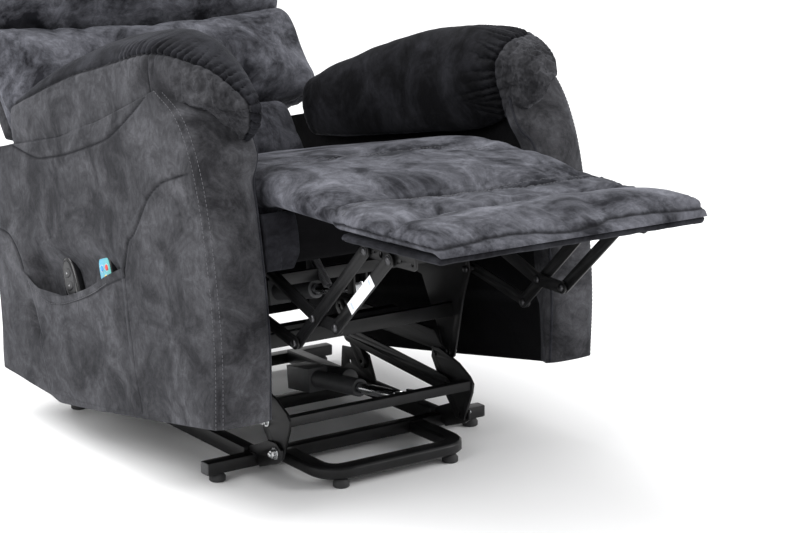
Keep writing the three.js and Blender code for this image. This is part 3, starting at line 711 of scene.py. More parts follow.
def pad_grid(side, columns=270):
    line = smooth_path(np.array(PAD_STATIONS, float)[::-1], 1.9)
    line = line[line[:, 0] >= NOSE_START]
    rings = []
    for y, top, outer, hem, seat in line:
        loft = PAD_LOFT[side] * ease(y, -165, -60) * (1 - 0.4 * ease(y, 300, 440))
        puff = 7 * (1 - ease(y, -110, 0)) * ease(y, -175, -140)
        ring = pad_ring(top + loft, outer, hem, seat, puff)
        ring = ring[np.linspace(0, len(ring) - 1, columns).round().astype(int)]
        rings.append(np.column_stack([ring[:, 0], np.full(columns, y), ring[:, 1]]))
    rear = rings[0]
    centre = np.array([(PAD_INNER + 398) / 2, 0, 636.0])
    closing = []
    for angle in np.linspace(0.5 * math.pi, 0, 24)[:-1]:
        ring = centre + (rear - centre) * max(math.cos(angle) ** 0.5, 0.03)
        ring[:, 1] = rear[0, 1] + REAR_LENGTH * math.sin(angle)
        closing.append(ring)
    rings = [ring for ring in rings if ring[0, 1] > NOSE_START]
    base = rings[-1]
    for share in np.linspace(0, 1, 110)[1:]:
        size = max(1 - share ** 1.45, 0.0) ** 0.66
        centre = np.array([NOSE_TIP[0] + 45 * (1 - share), 0, NOSE_TIP[1]])
        ring = centre + (base - centre) * max(size, 0.02)
        ring[:, 1] = NOSE_START - NOSE_LENGTH * share
        rings.append(ring)
    return np.array(closing + rings)


def pleats(along, distance, seed, spacing=15.0, depth=9.5, reach=42.0):
    """Gathered fabric: round ridges with sharp valleys that run away from a seam, and a weight that
    paints shade into the valleys.
    """
    walk = along + 4.0 * np.array([noise.noise(Vector((a / 23.0, seed, 0)))
                                   for a in along.reshape(-1)]).reshape(along.shape)
    drift = fbm(np.stack([along, distance, 0 * along], -1), 26, seed) * 2.5
    phase = (walk + drift) / spacing
    ridge = np.abs(np.sin(np.pi * phase)) ** 0.55
    index = np.floor(phase)
    own = 0.5 + 0.5 * np.sin(index * 12.9898 + seed) * np.cos(index * 4.1414)
    fade = np.exp(-((distance / (reach * (0.35 + 0.9 * own))) ** 1.7))
    return depth * (ridge - 0.72) * fade, (1 - ridge) ** 2 * fade


def build_arm_pad(name, side):
    points = pad_grid(side)
    points[..., 0] *= side
    normals = grid_normals(points, wrap=True)
    centre = points.mean((0, 1))
    if np.mean(np.sum(normals * (points - centre), -1)) < 0:
        normals = -normals
    line = Path([(side * x, y, z) for x, y, z in PAD_SEAMS[side]], 2)
    distance, along, index, offset = line.near(points)
    facing = np.cross(line.along[index], normals)
    on_band = np.sum(facing * offset, -1) * side > 0
    height = np.sum(offset * normals, -1)
    level = np.sqrt(np.maximum(distance ** 2 - height ** 2, 0))
    distance = np.where(np.abs(height) < 14, level, distance)
    total = len(line.at) * line.step
    in_front = ease(along, 0.5 * total, 0.6 * total) * (1 - 0.6 * ease(along, 0.97 * total, total))
    seed = 2 + side
    reach = 30.0 if side < 0 else 52.0
    fold, valley_shade = pleats(along, distance, seed, reach=reach)
    push, crush_shade = pleats(along * 0.8, distance, seed + 5, 17, 3.4, 26)
    lift = np.where(on_band, fold, push) * in_front
    # Painted shade in the pleat valleys: full on the band, lighter in the pushed folds beside it.
    dark = np.where(on_band, valley_shade, 0.6 * crush_shade) * in_front
    nose = (1 - ease(points[..., 1], -215, -120)) * (~on_band)
    crumple = fbm(points * np.array([1, 1.6, 0.6]), 30, seed + 1, 4)
    lift = lift + nose * (4.2 * (1 - 2.2 * np.abs(crumple)) - 1.6) * ease(distance, 2, 18)
    # The nose's crumple fold lines are darkened too.
    dark = dark + 0.3 * nose * ease(-np.abs(crumple), -0.08, 0)
    rear = ease(points[..., 1], 400, 470)
    wrinkle = fbm(points * np.array([1, 0.5, 0.5]), 16, seed + 3, 3)
    lift = lift - 2.6 * rear * np.abs(wrinkle)
    lift = lift + groove(distance, 2.8, 2.6) + 1.6 * fbm(points, 90, seed)
    # Seam lines and the painted valley shade both darken the colour.
    seam_and_shade = np.maximum(bell(distance, 2.4), 0.92 * dark)
    panel_seam = np.exp(-((np.abs(points[..., 1] + 100) / 2.0) ** 2)) * (
        np.abs(points[..., 0]) > 350) * ~on_band * (distance > 3)
    lift = lift - 1.6 * panel_seam
    seam_and_shade = np.clip(np.maximum(seam_and_shade, 0.8 * panel_seam), 0, 1)
    points = points + normals * lift[..., None]
    rows, columns = distance.shape
    faces = grid_faces(rows, columns, wrap=True)
    cell = on_band[:-1].reshape(-1).astype(int)
    caps = [list(range(columns))[::-1], list(range((rows - 1) * columns, rows * columns))]
    obj = mesh_object(f"arm_cushion_{name}", from_level(points), [*faces.tolist(), *caps],
                      # The far pad's band gets the darker copy, as painted shade.
                      [M["side"], M["band"] if side < 0 else M["painted_shade"]],
                      np.concatenate([cell, [1, 0]]), seam_and_shade)
    return piece(obj, "chair_frame", [f"arm_pad_{name}"])


TONGUE_EDGE = ((ARM_INNER - 8, -214, 560), (ARM_INNER - 21, -206, 592), (ARM_INNER - 20, -196, 628),
               (ARM_INNER - 3, -186, 654), (322, -172, 676), (352, -150, 690), (380, -128, 696))


def build_arms():
    for name, side in SIDES:
        box = build_arm(name, side)
        build_arm_pad(name, side)
        line = [from_level((side * x, y, z)) / MM for x, y, z in TONGUE_EDGE]
        inner = [from_level((side * (ARM_INNER + 3), y - 2, z)) / MM for y, z in ARM_FRONT[:3]]
        inner.append(from_level((side * (ARM_INNER + 1), -232, 520)) / MM)
        # The dark cord is piping and also painted shade for the gap below the pad.
        cord_on(f"arm_front_piping_{name}", [*inner, *line], box, "chair_frame", 2.6,
                M["piping"])


build_arms()


# ---------------------------------------------------------------- inflated cushions
VOXEL = 6.5


def closed_grid(rings):
    """Points and faces of a body through rings, closed at both ends."""
    rows, columns = rings.shape[:2]
    faces = grid_faces(rows, columns, wrap=True).tolist()
    faces += [list(range(columns))[::-1], list(range((rows - 1) * columns, rows * columns))]
    return rings.reshape(-1, 3), faces


def apply_modifiers(obj):
    graph = bpy.context.evaluated_depsgraph_get()
    graph.update()
    mesh = bpy.data.meshes.new_from_object(obj.evaluated_get(graph))
    obj.modifiers.clear()
    obj.data = mesh
    return obj


def mesh_points(obj):
    points = np.empty(len(obj.data.vertices) * 3, np.float32)
    obj.data.vertices.foreach_get("co", points)
    return points.reshape(-1, 3).astype(float)


def mesh_normals(obj):
    normals = np.empty(len(obj.data.vertices) * 3, np.float32)
    obj.data.vertices.foreach_get("normal", normals)
    return normals.reshape(-1, 3).astype(float)


def set_points(obj, points):
    obj.data.vertices.foreach_set("co", np.asarray(points, np.float32).reshape(-1))
    obj.data.update()


def inflate(name, points, faces, held, cap, stiffness=12.0, pressure=4.0, shrink=0.0):
    """A cushion blown up by cloth simulation inside its own shape.

    points are in metres, held(points) gives 1 where the fabric is sewn or glued down and 0
    where it is free, and no point ends up further than cap millimetres from where it began.
    """
    obj = mesh_object(name, points, faces, [])
    remesh = obj.modifiers.new("voxels", "REMESH")
    remesh.mode = "VOXEL"
    remesh.voxel_size = VOXEL * MM
    remesh.use_smooth_shade = True
    apply_modifiers(obj)
    start = mesh_points(obj)
    normals = mesh_normals(obj)
    pinned = np.clip(held(start), 0, 1)
    group = obj.vertex_groups.new(name="held")
    for level in range(11):
        chosen = np.nonzero(np.round(pinned * 10).astype(int) == level)[0].tolist()
        if chosen and level:
            group.add(chosen, level / 10, "REPLACE")
    cloth = obj.modifiers.new("cloth", "CLOTH")
    settings = cloth.settings
    settings.quality = 5
    settings.mass = 0.35
    settings.tension_stiffness = stiffness
    settings.compression_stiffness = stiffness
    settings.shear_stiffness = stiffness * 0.5
    settings.bending_stiffness = 0.6
    settings.use_pressure = True
    settings.uniform_pressure_force = pressure
    settings.shrink_min = shrink
    settings.vertex_group_mass = "held"
    settings.effector_weights.gravity = 0
    cloth.collision_settings.use_collision = False
    cloth.point_cache.frame_start = 1
    cloth.point_cache.frame_end = 20
    scene = bpy.context.scene
    for step in range(1, 21):
        scene.frame_set(step)
    apply_modifiers(obj)
    scene.frame_set(1)
    moved = mesh_points(obj) - start
    size = np.linalg.norm(moved, axis=1, keepdims=True)
    limit = cap * MM
    moved *= np.minimum(1, limit * np.tanh(size / limit) / np.maximum(size, 1e-9))
    set_points(obj, start + moved)
    obj.vertex_groups.clear()
    smooth = obj.modifiers.new("relax", "SMOOTH")
    smooth.factor = 0.5
    smooth.iterations = 2
    finer = obj.modifiers.new("finer", "SUBSURF")
    finer.levels = 1
    finer.render_levels = 1
    return apply_modifiers(obj)


def dress(obj, lift, seam_and_shade, materials):
    """Moves a finished cushion's surface by lift (mm) along its normals and marks its seams and its
    painted shade in gaps and dimples.
    """
    set_points(obj, mesh_points(obj) + mesh_normals(obj) * (np.asarray(lift) * MM)[:, None])
    layer = obj.data.attributes.new("seam_and_shade", "FLOAT", "POINT")
    layer.data.foreach_set("value", np.asarray(np.clip(seam_and_shade, 0, 1), np.float32))
    obj.data.materials.clear()
    for material in materials:
        obj.data.materials.append(material)
    obj.data.polygons.foreach_set("use_smooth", np.ones(len(obj.data.polygons), bool))
    return obj


def rounded_ring(half_width, low, high, low_radius, high_radius, columns=84):
    """(x, z) round a section with its own corner radii below and above."""
    outline = []
    for centre_x, centre_z, radius, start in (
            (half_width - high_radius, high - high_radius, high_radius, 0),
            (high_radius - half_width, high - high_radius, high_radius, 90),
            (low_radius - half_width, low + low_radius, low_radius, 180),
            (half_width - low_radius, low + low_radius, low_radius, 270)):
        for angle in np.radians(np.linspace(start, start + 90, 9)):
            outline.append((centre_x + radius * math.cos(angle),
                            centre_z + radius * math.sin(angle)))
    outline = np.array([*outline, outline[0]])
    run = np.concatenate([[0], np.cumsum(np.linalg.norm(np.diff(outline, axis=0), axis=1))])
    at = np.linspace(0, run[-1], columns, endpoint=False)
    return np.stack([np.interp(at, run, outline[:, i]) for i in (0, 1)], -1)


# ---------------------------------------------------------------- chaise: seat, calf, footrest
SEAT_HALF = level_box("seat_cushion")[1][0]
SEAT_BACK = level_box("seat_cushion")[1][1] - 2
SEAT_FRONT = level_box("seat_cushion")[0][1]
CALF_FRONT = level_box("calf_pad")[0][1]
FOOT_FRONT = level_box("footrest_pad")[0][1]
# Level heights of the chaise's side edge and underside, by y from rear to front
CHAISE_TOP = ((414, 540), (60, 546), (-100, 552), (-160, 550), (-210, 544), (-246, 534),
              (-340, 510), (-418, 487), (-451, 478), (-498, 467), (-567, 459), (-620, 455),
              (-664, 449), (-698, 437))
CHAISE_UNDER = ((414, 426), (-205, 426), (-207, 480), (-238, 482), (-418, 452), (-424, 446),
                (-698, 409))
SWELL = 9.0


def chaise_height(table, y):
    line = np.array(table, float)[::-1]
    return np.interp(y, line[:, 0], line[:, 1])


# Sewn lines over the chaise, as (x, y) seen from above, from the sitter's right to left
KNEE_SEAM = ((-276, -190), (-262, -162), (-232, -120), (-200, -98), (-150, -90), (-60, -96),
             (67, -134), (130, -180), (180, -214), (240, -230), (272, -240))
CALF_SEAM = ((-277, -446), (-258, -414), (-238, -395), (-200, -393), (-152, -402), (-69, -409),
             (10, -418), (92, -427), (172, -428), (248, -428), (277, -444))
ROLL_SEAM = ((-277, -580), (-224, -546), (-155, -526), (-67, -518), (50, -515), (137, -519),
             (225, -524), (277, -556))


def on_chaise(points, lift=0.0):
    return [(x, y, chaise_height(CHAISE_TOP, y) + lift) for x, y in points]


def flat_distance(points_mm, line):
    """Distance seen from above between level points and a sewn line."""
    ground = np.array(points_mm)
    ground[..., 2] = 0
    path = Path([(x, y, 0) for x, y in line], 2)
    return path.near(ground)


def chaise_rings():
    rings = []
    for y in np.linspace(SEAT_BACK, FOOT_FRONT + 4, 190):
        front = ease(-y, -FOOT_FRONT - 34, -FOOT_FRONT - 4)
        under = chaise_height(CHAISE_UNDER, y) + 3
        top = chaise_height(CHAISE_TOP, y) - SWELL - 10 * front
        half = SEAT_HALF - 3 - 3 * front
        thick = max(top - under, 16)
        ring = rounded_ring(half, top - thick, top, min(8, 0.3 * thick), min(22, 0.48 * thick))
        rings.append(np.column_stack([ring[:, 0], np.full(len(ring), y), ring[:, 1]]))
    return np.array(rings)


def cut_piece(source, name, keep):
    """A closed copy of a cushion, cut by planes given as (level point, level direction out)."""
    box = bmesh.new()
    box.from_mesh(source.data)
    for point, outward in keep:
        ends = from_level(np.array([point, np.add(point, outward)]))
        out = bmesh.ops.bisect_plane(
            box, geom=box.verts[:] + box.edges[:] + box.faces[:], plane_co=ends[0],
            plane_no=(ends[1] - ends[0]) / MM, clear_outer=True)
        rim = [e for e in out["geom_cut"] if isinstance(e, bmesh.types.BMEdge)]
        bmesh.ops.holes_fill(box, edges=rim, sides=0)
    mesh = bpy.data.meshes.new(name)
    box.to_mesh(mesh)
    box.free()
    for material in source.data.materials:
        mesh.materials.append(material)
    obj = bpy.data.objects.new(name, mesh)
    bpy.context.scene.collection.objects.link(obj)
    return obj


def build_chaise():
    points, faces = closed_grid(chaise_rings())
    lines = (KNEE_SEAM, CALF_SEAM, ROLL_SEAM)

    def held(metres):
        level = to_level(metres)
        top = chaise_height(CHAISE_TOP, level[:, 1])
        under = chaise_height(CHAISE_UNDER, level[:, 1])
        share = (level[:, 2] - under) / (top - under)
        pins = 1 - ease(share, 0.12, 0.3)
        on_top = ease(share, 0.6, 0.85)
        for line, width in zip(lines, (6, 8, 11)):
            distance = flat_distance(level, line)[0]
            pins = np.maximum(pins, bell(distance, width) * on_top)
        return pins

    whole = inflate("chaise", from_level(points), faces, held, 20, shrink=-0.03)
    level = to_level(mesh_points(whole))
    x, y, z = level.T
    top = chaise_height(CHAISE_TOP, y)
    under = chaise_height(CHAISE_UNDER, y)
    share = (z - under) / (top - under)
    upward = ease(share, 0.55, 0.8)
    lift = 1.3 * fbm(level, 85, 11) * upward
    seam_and_shade = np.zeros(len(level))
    for line, depth in zip(lines, (3.0, 3.0, 5.5)):
        distance, along = flat_distance(level, line)[:2]
        lift += groove(distance, depth, 2.6 if depth < 4 else 6.0) * upward
        seam_and_shade = np.maximum(seam_and_shade, 0.85 * bell(distance, 2.4) * upward
                          * (1.0 if depth < 4 else 0.35))
        pucker = np.sin(along / 4.1 + 3 * fbm(level, 60, 4)) * bell(distance, 15)
        lift += 0.55 * pucker * upward
    # the footrest's front seam: short puckers below a stitched line round the front and sides
    front = ease(-y, 418, 426)
    wander = 5 * np.sin((x + 220) / 46) * bell(x, 210)
    edge_height = under + 13 + wander * ease(-y, 640, 690)
    off = z - edge_height
    belt = bell(off, 2.4) * front * (np.abs(x) > 238) \
        + bell(off, 2.4) * front * ease(-y, 650, 668) * (np.abs(x) <= 238)
    belt = np.clip(belt, 0, 1)
    lift -= 2.4 * belt
    seam_and_shade = np.maximum(seam_and_shade, 0.9 * belt)
    run = np.where(np.abs(x) > 262, y, x)
    above = np.exp(-((np.maximum(off, 0) / 22) ** 2)) * (off > 0) * front
    near_edge = np.maximum(ease(np.abs(x), 240, 262), ease(-y, 640, 668))
    lift += 1.1 * np.sin(run / 3.0 + 4 * fbm(level, 40, 8)) * above * near_edge
    star = np.hypot(x - 92, (y + 622))
    turn = np.arctan2(y + 622, x - 92)
    rays = np.maximum(0, np.cos(3 * turn + 0.6)) ** 3
    lift -= (3.0 * bell(star, 9) + 1.4 * rays * bell(star, 38)) * upward
    # Painted shade in the dimple's centre.
    seam_and_shade = np.maximum(seam_and_shade, 0.5 * bell(star, 5) * upward)
    dress(whole, lift, seam_and_shade, [M["seat"]])

    overlap = 12.0
    seat = cut_piece(whole, "seat_cushion_cover", [((0, SEAT_FRONT, 500), (0, -1, 0))])
    calf = cut_piece(whole, "calf_pad_cover", [((0, SEAT_FRONT + overlap, 500), (0, 1, 0)),
                                               ((0, CALF_FRONT - overlap, 470), (0, -1, 0))])
    set_points(calf, mesh_points(calf) - mesh_normals(calf) * 0.25 * MM)
    foot = cut_piece(whole, "footrest_cushion_cover", [((0, CALF_FRONT, 470), (0, 1, 0))])
    bpy.data.objects.remove(whole)
    piece(seat, "chair_frame", ["seat_cushion"])
    piece(calf, "chair_frame", ["calf_pad"])
    piece(foot, "footrest_board", ["footrest_pad"])
    front = from_level(np.array([(0, SEAT_FRONT, 500), (0, SEAT_FRONT - 1, 500)]))
    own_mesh(calf)
    for name, line, target, body in (
            ("knee_seam_stitching", KNEE_SEAM, seat, "chair_frame"),
            ("calf_seam_stitching", CALF_SEAM, foot, "footrest_board")):
        rows = []
        for offset in (6.5, -6.5):
            shifted = [(x, y + offset) for x, y in line]
            inside = [p for p in shifted if (SEAT_FRONT + 4 < p[1] if target is seat
                                             else p[1] < CALF_FRONT - 2)]
            rows.append([from_level(p) / MM for p in on_chaise(inside, 4)])
        stitched(name, rows, target, body)


build_chaise()


# ---------------------------------------------------------------- back
BACK_HALF = level_box("middle_cushion")[1][0]
LUMBAR_HALF = level_box("lumbar_cushion")[1][0]
WINGS_FROM = 187  # height along the back where it widens over the arms
BACK_SEAMS = (22, 180, 399, 672)  # heights of the sewn lines, along the back
BACK_REAR = 62
BACK_FACES = (-33, -39, -33)
BACK_NAMES = ("lumbar", "middle", "head")


def rounding(end, length):
    """0 at a rounded end and 1 where its quarter circle is complete."""
    return math.sqrt(max(0.0, 1 - (1 - min(end / length, 1)) ** 2))


def back_cushion(index):
    name = BACK_NAMES[index]
    low, high = BACK_SEAMS[index], BACK_SEAMS[index + 1]
    face = BACK_FACES[index]
    rings = []
    for z in np.linspace(low + 5, high - 5, 60):
        end = min(z - low, high - z)
        bulge = rounding(end, 46)
        front = 22 + (face - 22) * (0.45 + 0.55 * bulge)
        half = BACK_HALF - 6 + 6 * bulge
        if index < 2:
            half += (LUMBAR_HALF - BACK_HALF) * (1 - ease(z, WINGS_FROM - 4, WINGS_FROM + 10))
        if index == 2:
            half -= 26 * ease(z, high - 90, high) ** 2
        ring = rounded_ring(half, -BACK_REAR + 4, -front, 6, 24)
        rings.append(np.column_stack([ring[:, 0], -ring[:, 1], np.full(len(ring), z)]))
    points, faces = closed_grid(np.array(rings))

    def held(metres):
        level = leaned(to_level(metres) - BACK_HINGE, -BACK_LEAN)
        return ease(level[:, 1], BACK_REAR - 30, BACK_REAR - 12)

    obj = inflate(f"{name}_cushion_cover", from_back(points), faces, held, 24, shrink=-0.04)
    local = leaned(to_level(mesh_points(obj)) - BACK_HINGE, -BACK_LEAN)
    x, y, z = local.T
    free = 1 - ease(y, 20, 50)
    lift = 1.8 * fbm(local, 120, 21 + index) * free
    ends = np.minimum(z - low, high - z)
    lift += 1.0 * np.sin(x / 6.5 + 5 * fbm(local, 70, 31 + index)) * np.exp(-(
        (np.maximum(ends, 0) / 16) ** 2)) * free
    side_seam = bell(y - 22, 2.6) * (
        np.abs(x) > (LUMBAR_HALF if index == 0 else BACK_HALF) - 60)
    lift -= 2.2 * side_seam
    # Dark side seams; at the cushions' ends the darkening is the sewn line plus painted shade in
    # the gap between cushions.
    seam_and_shade = np.maximum(0.9 * side_seam, 0.5 * bell(ends, 4) * free)
    dress(obj, lift, seam_and_shade, [M["seat"]])
    return piece(obj, "back", [f"{name}_cushion"])


def build_back():
    for index in range(3):
        back_cushion(index)
    low, high = -18.0, BACK_SEAMS[-1] - 6
    rings = []
    for z in np.linspace(low, high, 90):
        end = min(z - low, high - z)
        bulge = rounding(end, 26)
        wings = ease(z, WINGS_FROM + 4, WINGS_FROM + 24)
        half = LUMBAR_HALF + (BACK_HALF - LUMBAR_HALF) * wings
        half -= 3 + 7 * (1 - bulge) + 26 * ease(z, high - 90, high) ** 2
        rear = 92 + 9 * bulge
        ring = rounded_ring(half, -rear, -BACK_REAR + 4, 20, 6, 150)
        rings.append(np.column_stack([ring[:, 0], -ring[:, 1], np.full(len(ring), z)]))
    points = np.array(rings)
    x, y, z = points[..., 0], points[..., 1], points[..., 2]
    behind = ease(y, 84, 94)
    lift = np.zeros_like(x)
    seam_and_shade = np.zeros_like(x)
    edge = LUMBAR_HALF - 30  # half the width of the sewn-in rear panel
    outlines = [np.abs(x - side * edge) for side in (-1, 1)]
    outlines += [np.abs(z - height) + 1e3 * (np.abs(x) > edge) for height in (150, 470)]
    for distance in outlines:
        lift += groove(distance, 2.2, 3.0) * behind
        seam_and_shade = np.maximum(seam_and_shade, bell(distance, 2.6) * behind)
    lift += (4 * np.cos(np.clip(x / edge, -1, 1) * math.pi / 2)
             + 1.4 * fbm(points, 130, 41)) * behind
    normals = grid_normals(points, wrap=True)
    if np.mean(normals[..., 1] * (y > 90)) < 0:
        normals = -normals
    points = points + normals * lift[..., None]
    flat, faces = closed_grid(points)
    obj = mesh_object("back_outer_cover", from_back(flat), faces, [M["side"]], seam_and_shade=seam_and_shade)
    piece(obj, "back", ["back_frame"])


build_back()


# ---------------------------------------------------------------- front rail and board wrap
def box_rings(x0, x1, low, high, radius, count=60):
    """A rounded bar along x through a (y, z) section given by its two corners."""
    (y0, z0), (y1, z1) = low, high
    ring = rounded_ring((y1 - y0) / 2, z0, z1, radius, radius, 48)
    middle = (y0 + y1) / 2
    rings = []
    for x in np.linspace(x0, x1, count):
        rings.append(np.column_stack([np.full(len(ring), x), ring[:, 0] + middle, ring[:, 1]]))
    return np.array(rings)


def build_front_rail():
    low, high = level_box("front_rail")
    y0, z0, y1, z1 = low[1], low[2], high[1], high[2] + 5
    centre = box_rings(-236, 236, (y0 + 3, z0), (y1 - 1, z1), 3, 120)
    sag = 2.2 * fbm(centre, 70, 51)
    centre[..., 1] += sag
    points, faces = closed_grid(centre)
    add("front_rail_lining", from_level(points), faces, M["lining"], "chair_frame",
        ["front_rail"])
    for name, side in SIDES:
        x0, x1 = sorted((side * 228, side * 289.5))
        end = box_rings(x0, x1, (y0 - 3, z0 - 9), (y1, z1 - 2), 9, 40)
        depth = np.clip((end[..., 2] - z0) / (z1 - z0), 0, 1)
        end[..., 1] -= 5 * np.sin(math.pi * depth) - 1.2 * fbm(end, 45, 52)
        tuck = ease(-end[..., 2], -z0 - 20, -z0 + 8)
        end[..., 0] += side * 10 * tuck * (np.abs(end[..., 0]) < 262)
        points, faces = closed_grid(end)
        add(f"front_rail_cover_{name}", from_level(points), faces, M["band"], "chair_frame")
    low, high = level_box("seat_deck")
    deck = box_rings(low[0], high[0], (low[1] + 2, low[2] - 2), (high[1], high[2] - 1), 3, 90)
    points, faces = closed_grid(deck)
    add("seat_deck_lining", from_level(points), faces, M["lining"], "chair_frame",
        ["seat_deck"])


def build_dust_cloth():
    """Thin black cloth across the rear of the chair, below the seat deck; its black also fills the
    dark under the seat's rear, partly as painted shade.
    """
    cloth = box_rings(-287, 287, (572, 205), (576, 468), 1.5, 150)
    cloth[..., 1] += 3 * fbm(cloth, 80, 61) + 1.2 * fbm(cloth, 22, 62)
    points, faces = closed_grid(cloth)
    add("rear_dust_cloth", from_level(points), faces, M["lining"], "chair_frame")


BOARD_SLOPE = 0.13  # drop of the footrest board toward its front edge


def build_board_wrap():
    """The footrest board, wrapped in velour with its edges turned under."""
    low, high = level_box("footrest_board")
    slope = BOARD_SLOPE
    rings = []
    for x in np.linspace(low[0] - 5, high[0] + 5, 90):
        end = min(x - low[0] + 5, high[0] + 5 - x)
        bulge = rounding(end, 9)
        half = (high[1] - low[1]) / 2 + 3 - 4 * (1 - bulge)
        ring = rounded_ring(half, -3 - 4 * bulge, 2 + 3 * bulge, 2 + 3 * bulge, 2, 120)
        middle_y, middle_z = (low[1] + high[1]) / 2, (low[2] + high[2]) / 2
        rings.append(np.column_stack([np.full(len(ring), x), ring[:, 0] + middle_y,
                                      ring[:, 1] + middle_z + ring[:, 0] * slope]))
    rings = np.array(rings)
    rings += 0.8 * fbm(rings, 40, 61)[..., None] * np.array([0, 0.4, 1])
    points, faces = closed_grid(rings)
    add("footrest_board_wrap", from_level(points), faces, M["band"], "footrest_board",
        ["footrest_board"])


build_front_rail()
build_dust_cloth()
build_board_wrap()


# ---------------------------------------------------------------- side pocket and controls
def sheet_solid(points, normal, thickness):
    """A closed thin sheet from a grid and a direction, thickness in the grid's units."""
    back = points + normal * thickness
    rings = np.concatenate([points, back[:, ::-1]], 1)
    return closed_grid(rings)


def build_pocket(arm):
    rows, columns = 90, 130
    edges = [resampled(p, 101) for p in (
        (POCKET_FRONT[0], (220, 140), POCKET_REAR[0]), POCKET_MOUTH, POCKET_FRONT, POCKET_REAR)]
    u, v = np.meshgrid(np.linspace(0, 1, columns), np.linspace(0, 1, rows))
    flat = filled_patch(edges, u, v)
    inward = Vector(from_level((1, 0, 0)) - from_level((0, 0, 0)))
    behind = np.empty_like(u)
    for i in range(rows):
        for j in range(columns):
            origin = from_level((-ARM_OUTER - 60, *flat[i, j]))
            hit = arm.ray_cast(Vector(origin), inward.normalized())
            behind[i, j] = -to_level(np.array(hit[1]))[0] if hit[0] else ARM_OUTER
    edge = np.minimum(np.minimum(u, 1 - u) * 380, v * 230)
    slack = 8.0 * np.sin(np.pi * u) ** 0.8 * ease(v, 0.25, 1.0)
    crown = ARM_OUTER + 3.5 + slack + 1.8 * fbm(np.stack([u * 380, v * 230, 0 * u], -1), 85, 71)
    out = np.maximum(behind + 0.8, crown - 3.5 * (1 - ease(edge, 0, 22)))
    hem = ease(v, 0.93, 0.945)
    seam_and_shade = 0.8 * bell(v - 0.935, 0.006)
    seam_and_shade = np.maximum(seam_and_shade, 0.7 * (1 - ease(edge, 0, 4)))
    out = out + 1.1 * hem - 1.2 * (1 - ease(edge, 0, 5))
    points = np.stack([-out, flat[..., 0], flat[..., 1]], -1)
    solid, faces = sheet_solid(points, np.array([1.0, 0, 0]), 2.2)
    seams = np.concatenate([seam_and_shade, seam_and_shade[:, ::-1]], 1)
    obj = mesh_object("side_pocket_panel", from_level(solid), faces, [M["side"]], seam_and_shade=seams)
    piece(obj, "chair_frame", ["side_pocket"])
    line = [from_level((-ARM_OUTER - 12, y, z - 13)) / MM for y, z in POCKET_MOUTH[1:-1]]
    stitched("pocket_hem_stitching", [line], obj, "chair_frame")


def oval_mesh(profile, half_y, half_z, power=2.0, sides=72):
    """A rounded button or shell: [share of its outline, x] turned round an oval."""
    turn = np.linspace(0, 2 * math.pi, sides, endpoint=False)
    c, s = np.cos(turn), np.sin(turn)
    y = np.sign(c) * np.abs(c) ** (2 / power) * half_y
    z = np.sign(s) * np.abs(s) ** (2 / power) * half_z
    rings = np.array([np.column_stack([np.full(sides, x), share * y, share * z])
                      for share, x in profile])
    return closed_grid(rings)


def arrow_mesh(x, centre, size, upward):
    """A small raised triangle mark."""
    y, z = centre
    tip = size if upward else -size
    face = [(x, y - size, z - 0.5 * tip), (x, y + size, z - 0.5 * tip), (x, y, z + 0.6 * tip)]
    back = [(x + 0.5, b, c) for _, b, c in face]
    return face + back, [(0, 1, 2), (5, 4, 3), (0, 3, 4, 1), (1, 4, 5, 2), (2, 5, 3, 0)]


def control_place(node, tilt):
    """Puts a shape drawn about a control's middle where its CAD body stands."""
    low, high = level_box(node)
    centre = (low + high) / 2
    centre[0] = -ARM_OUTER + 18
    return lambda points: from_level(leaned(points, math.radians(tilt)) + centre)


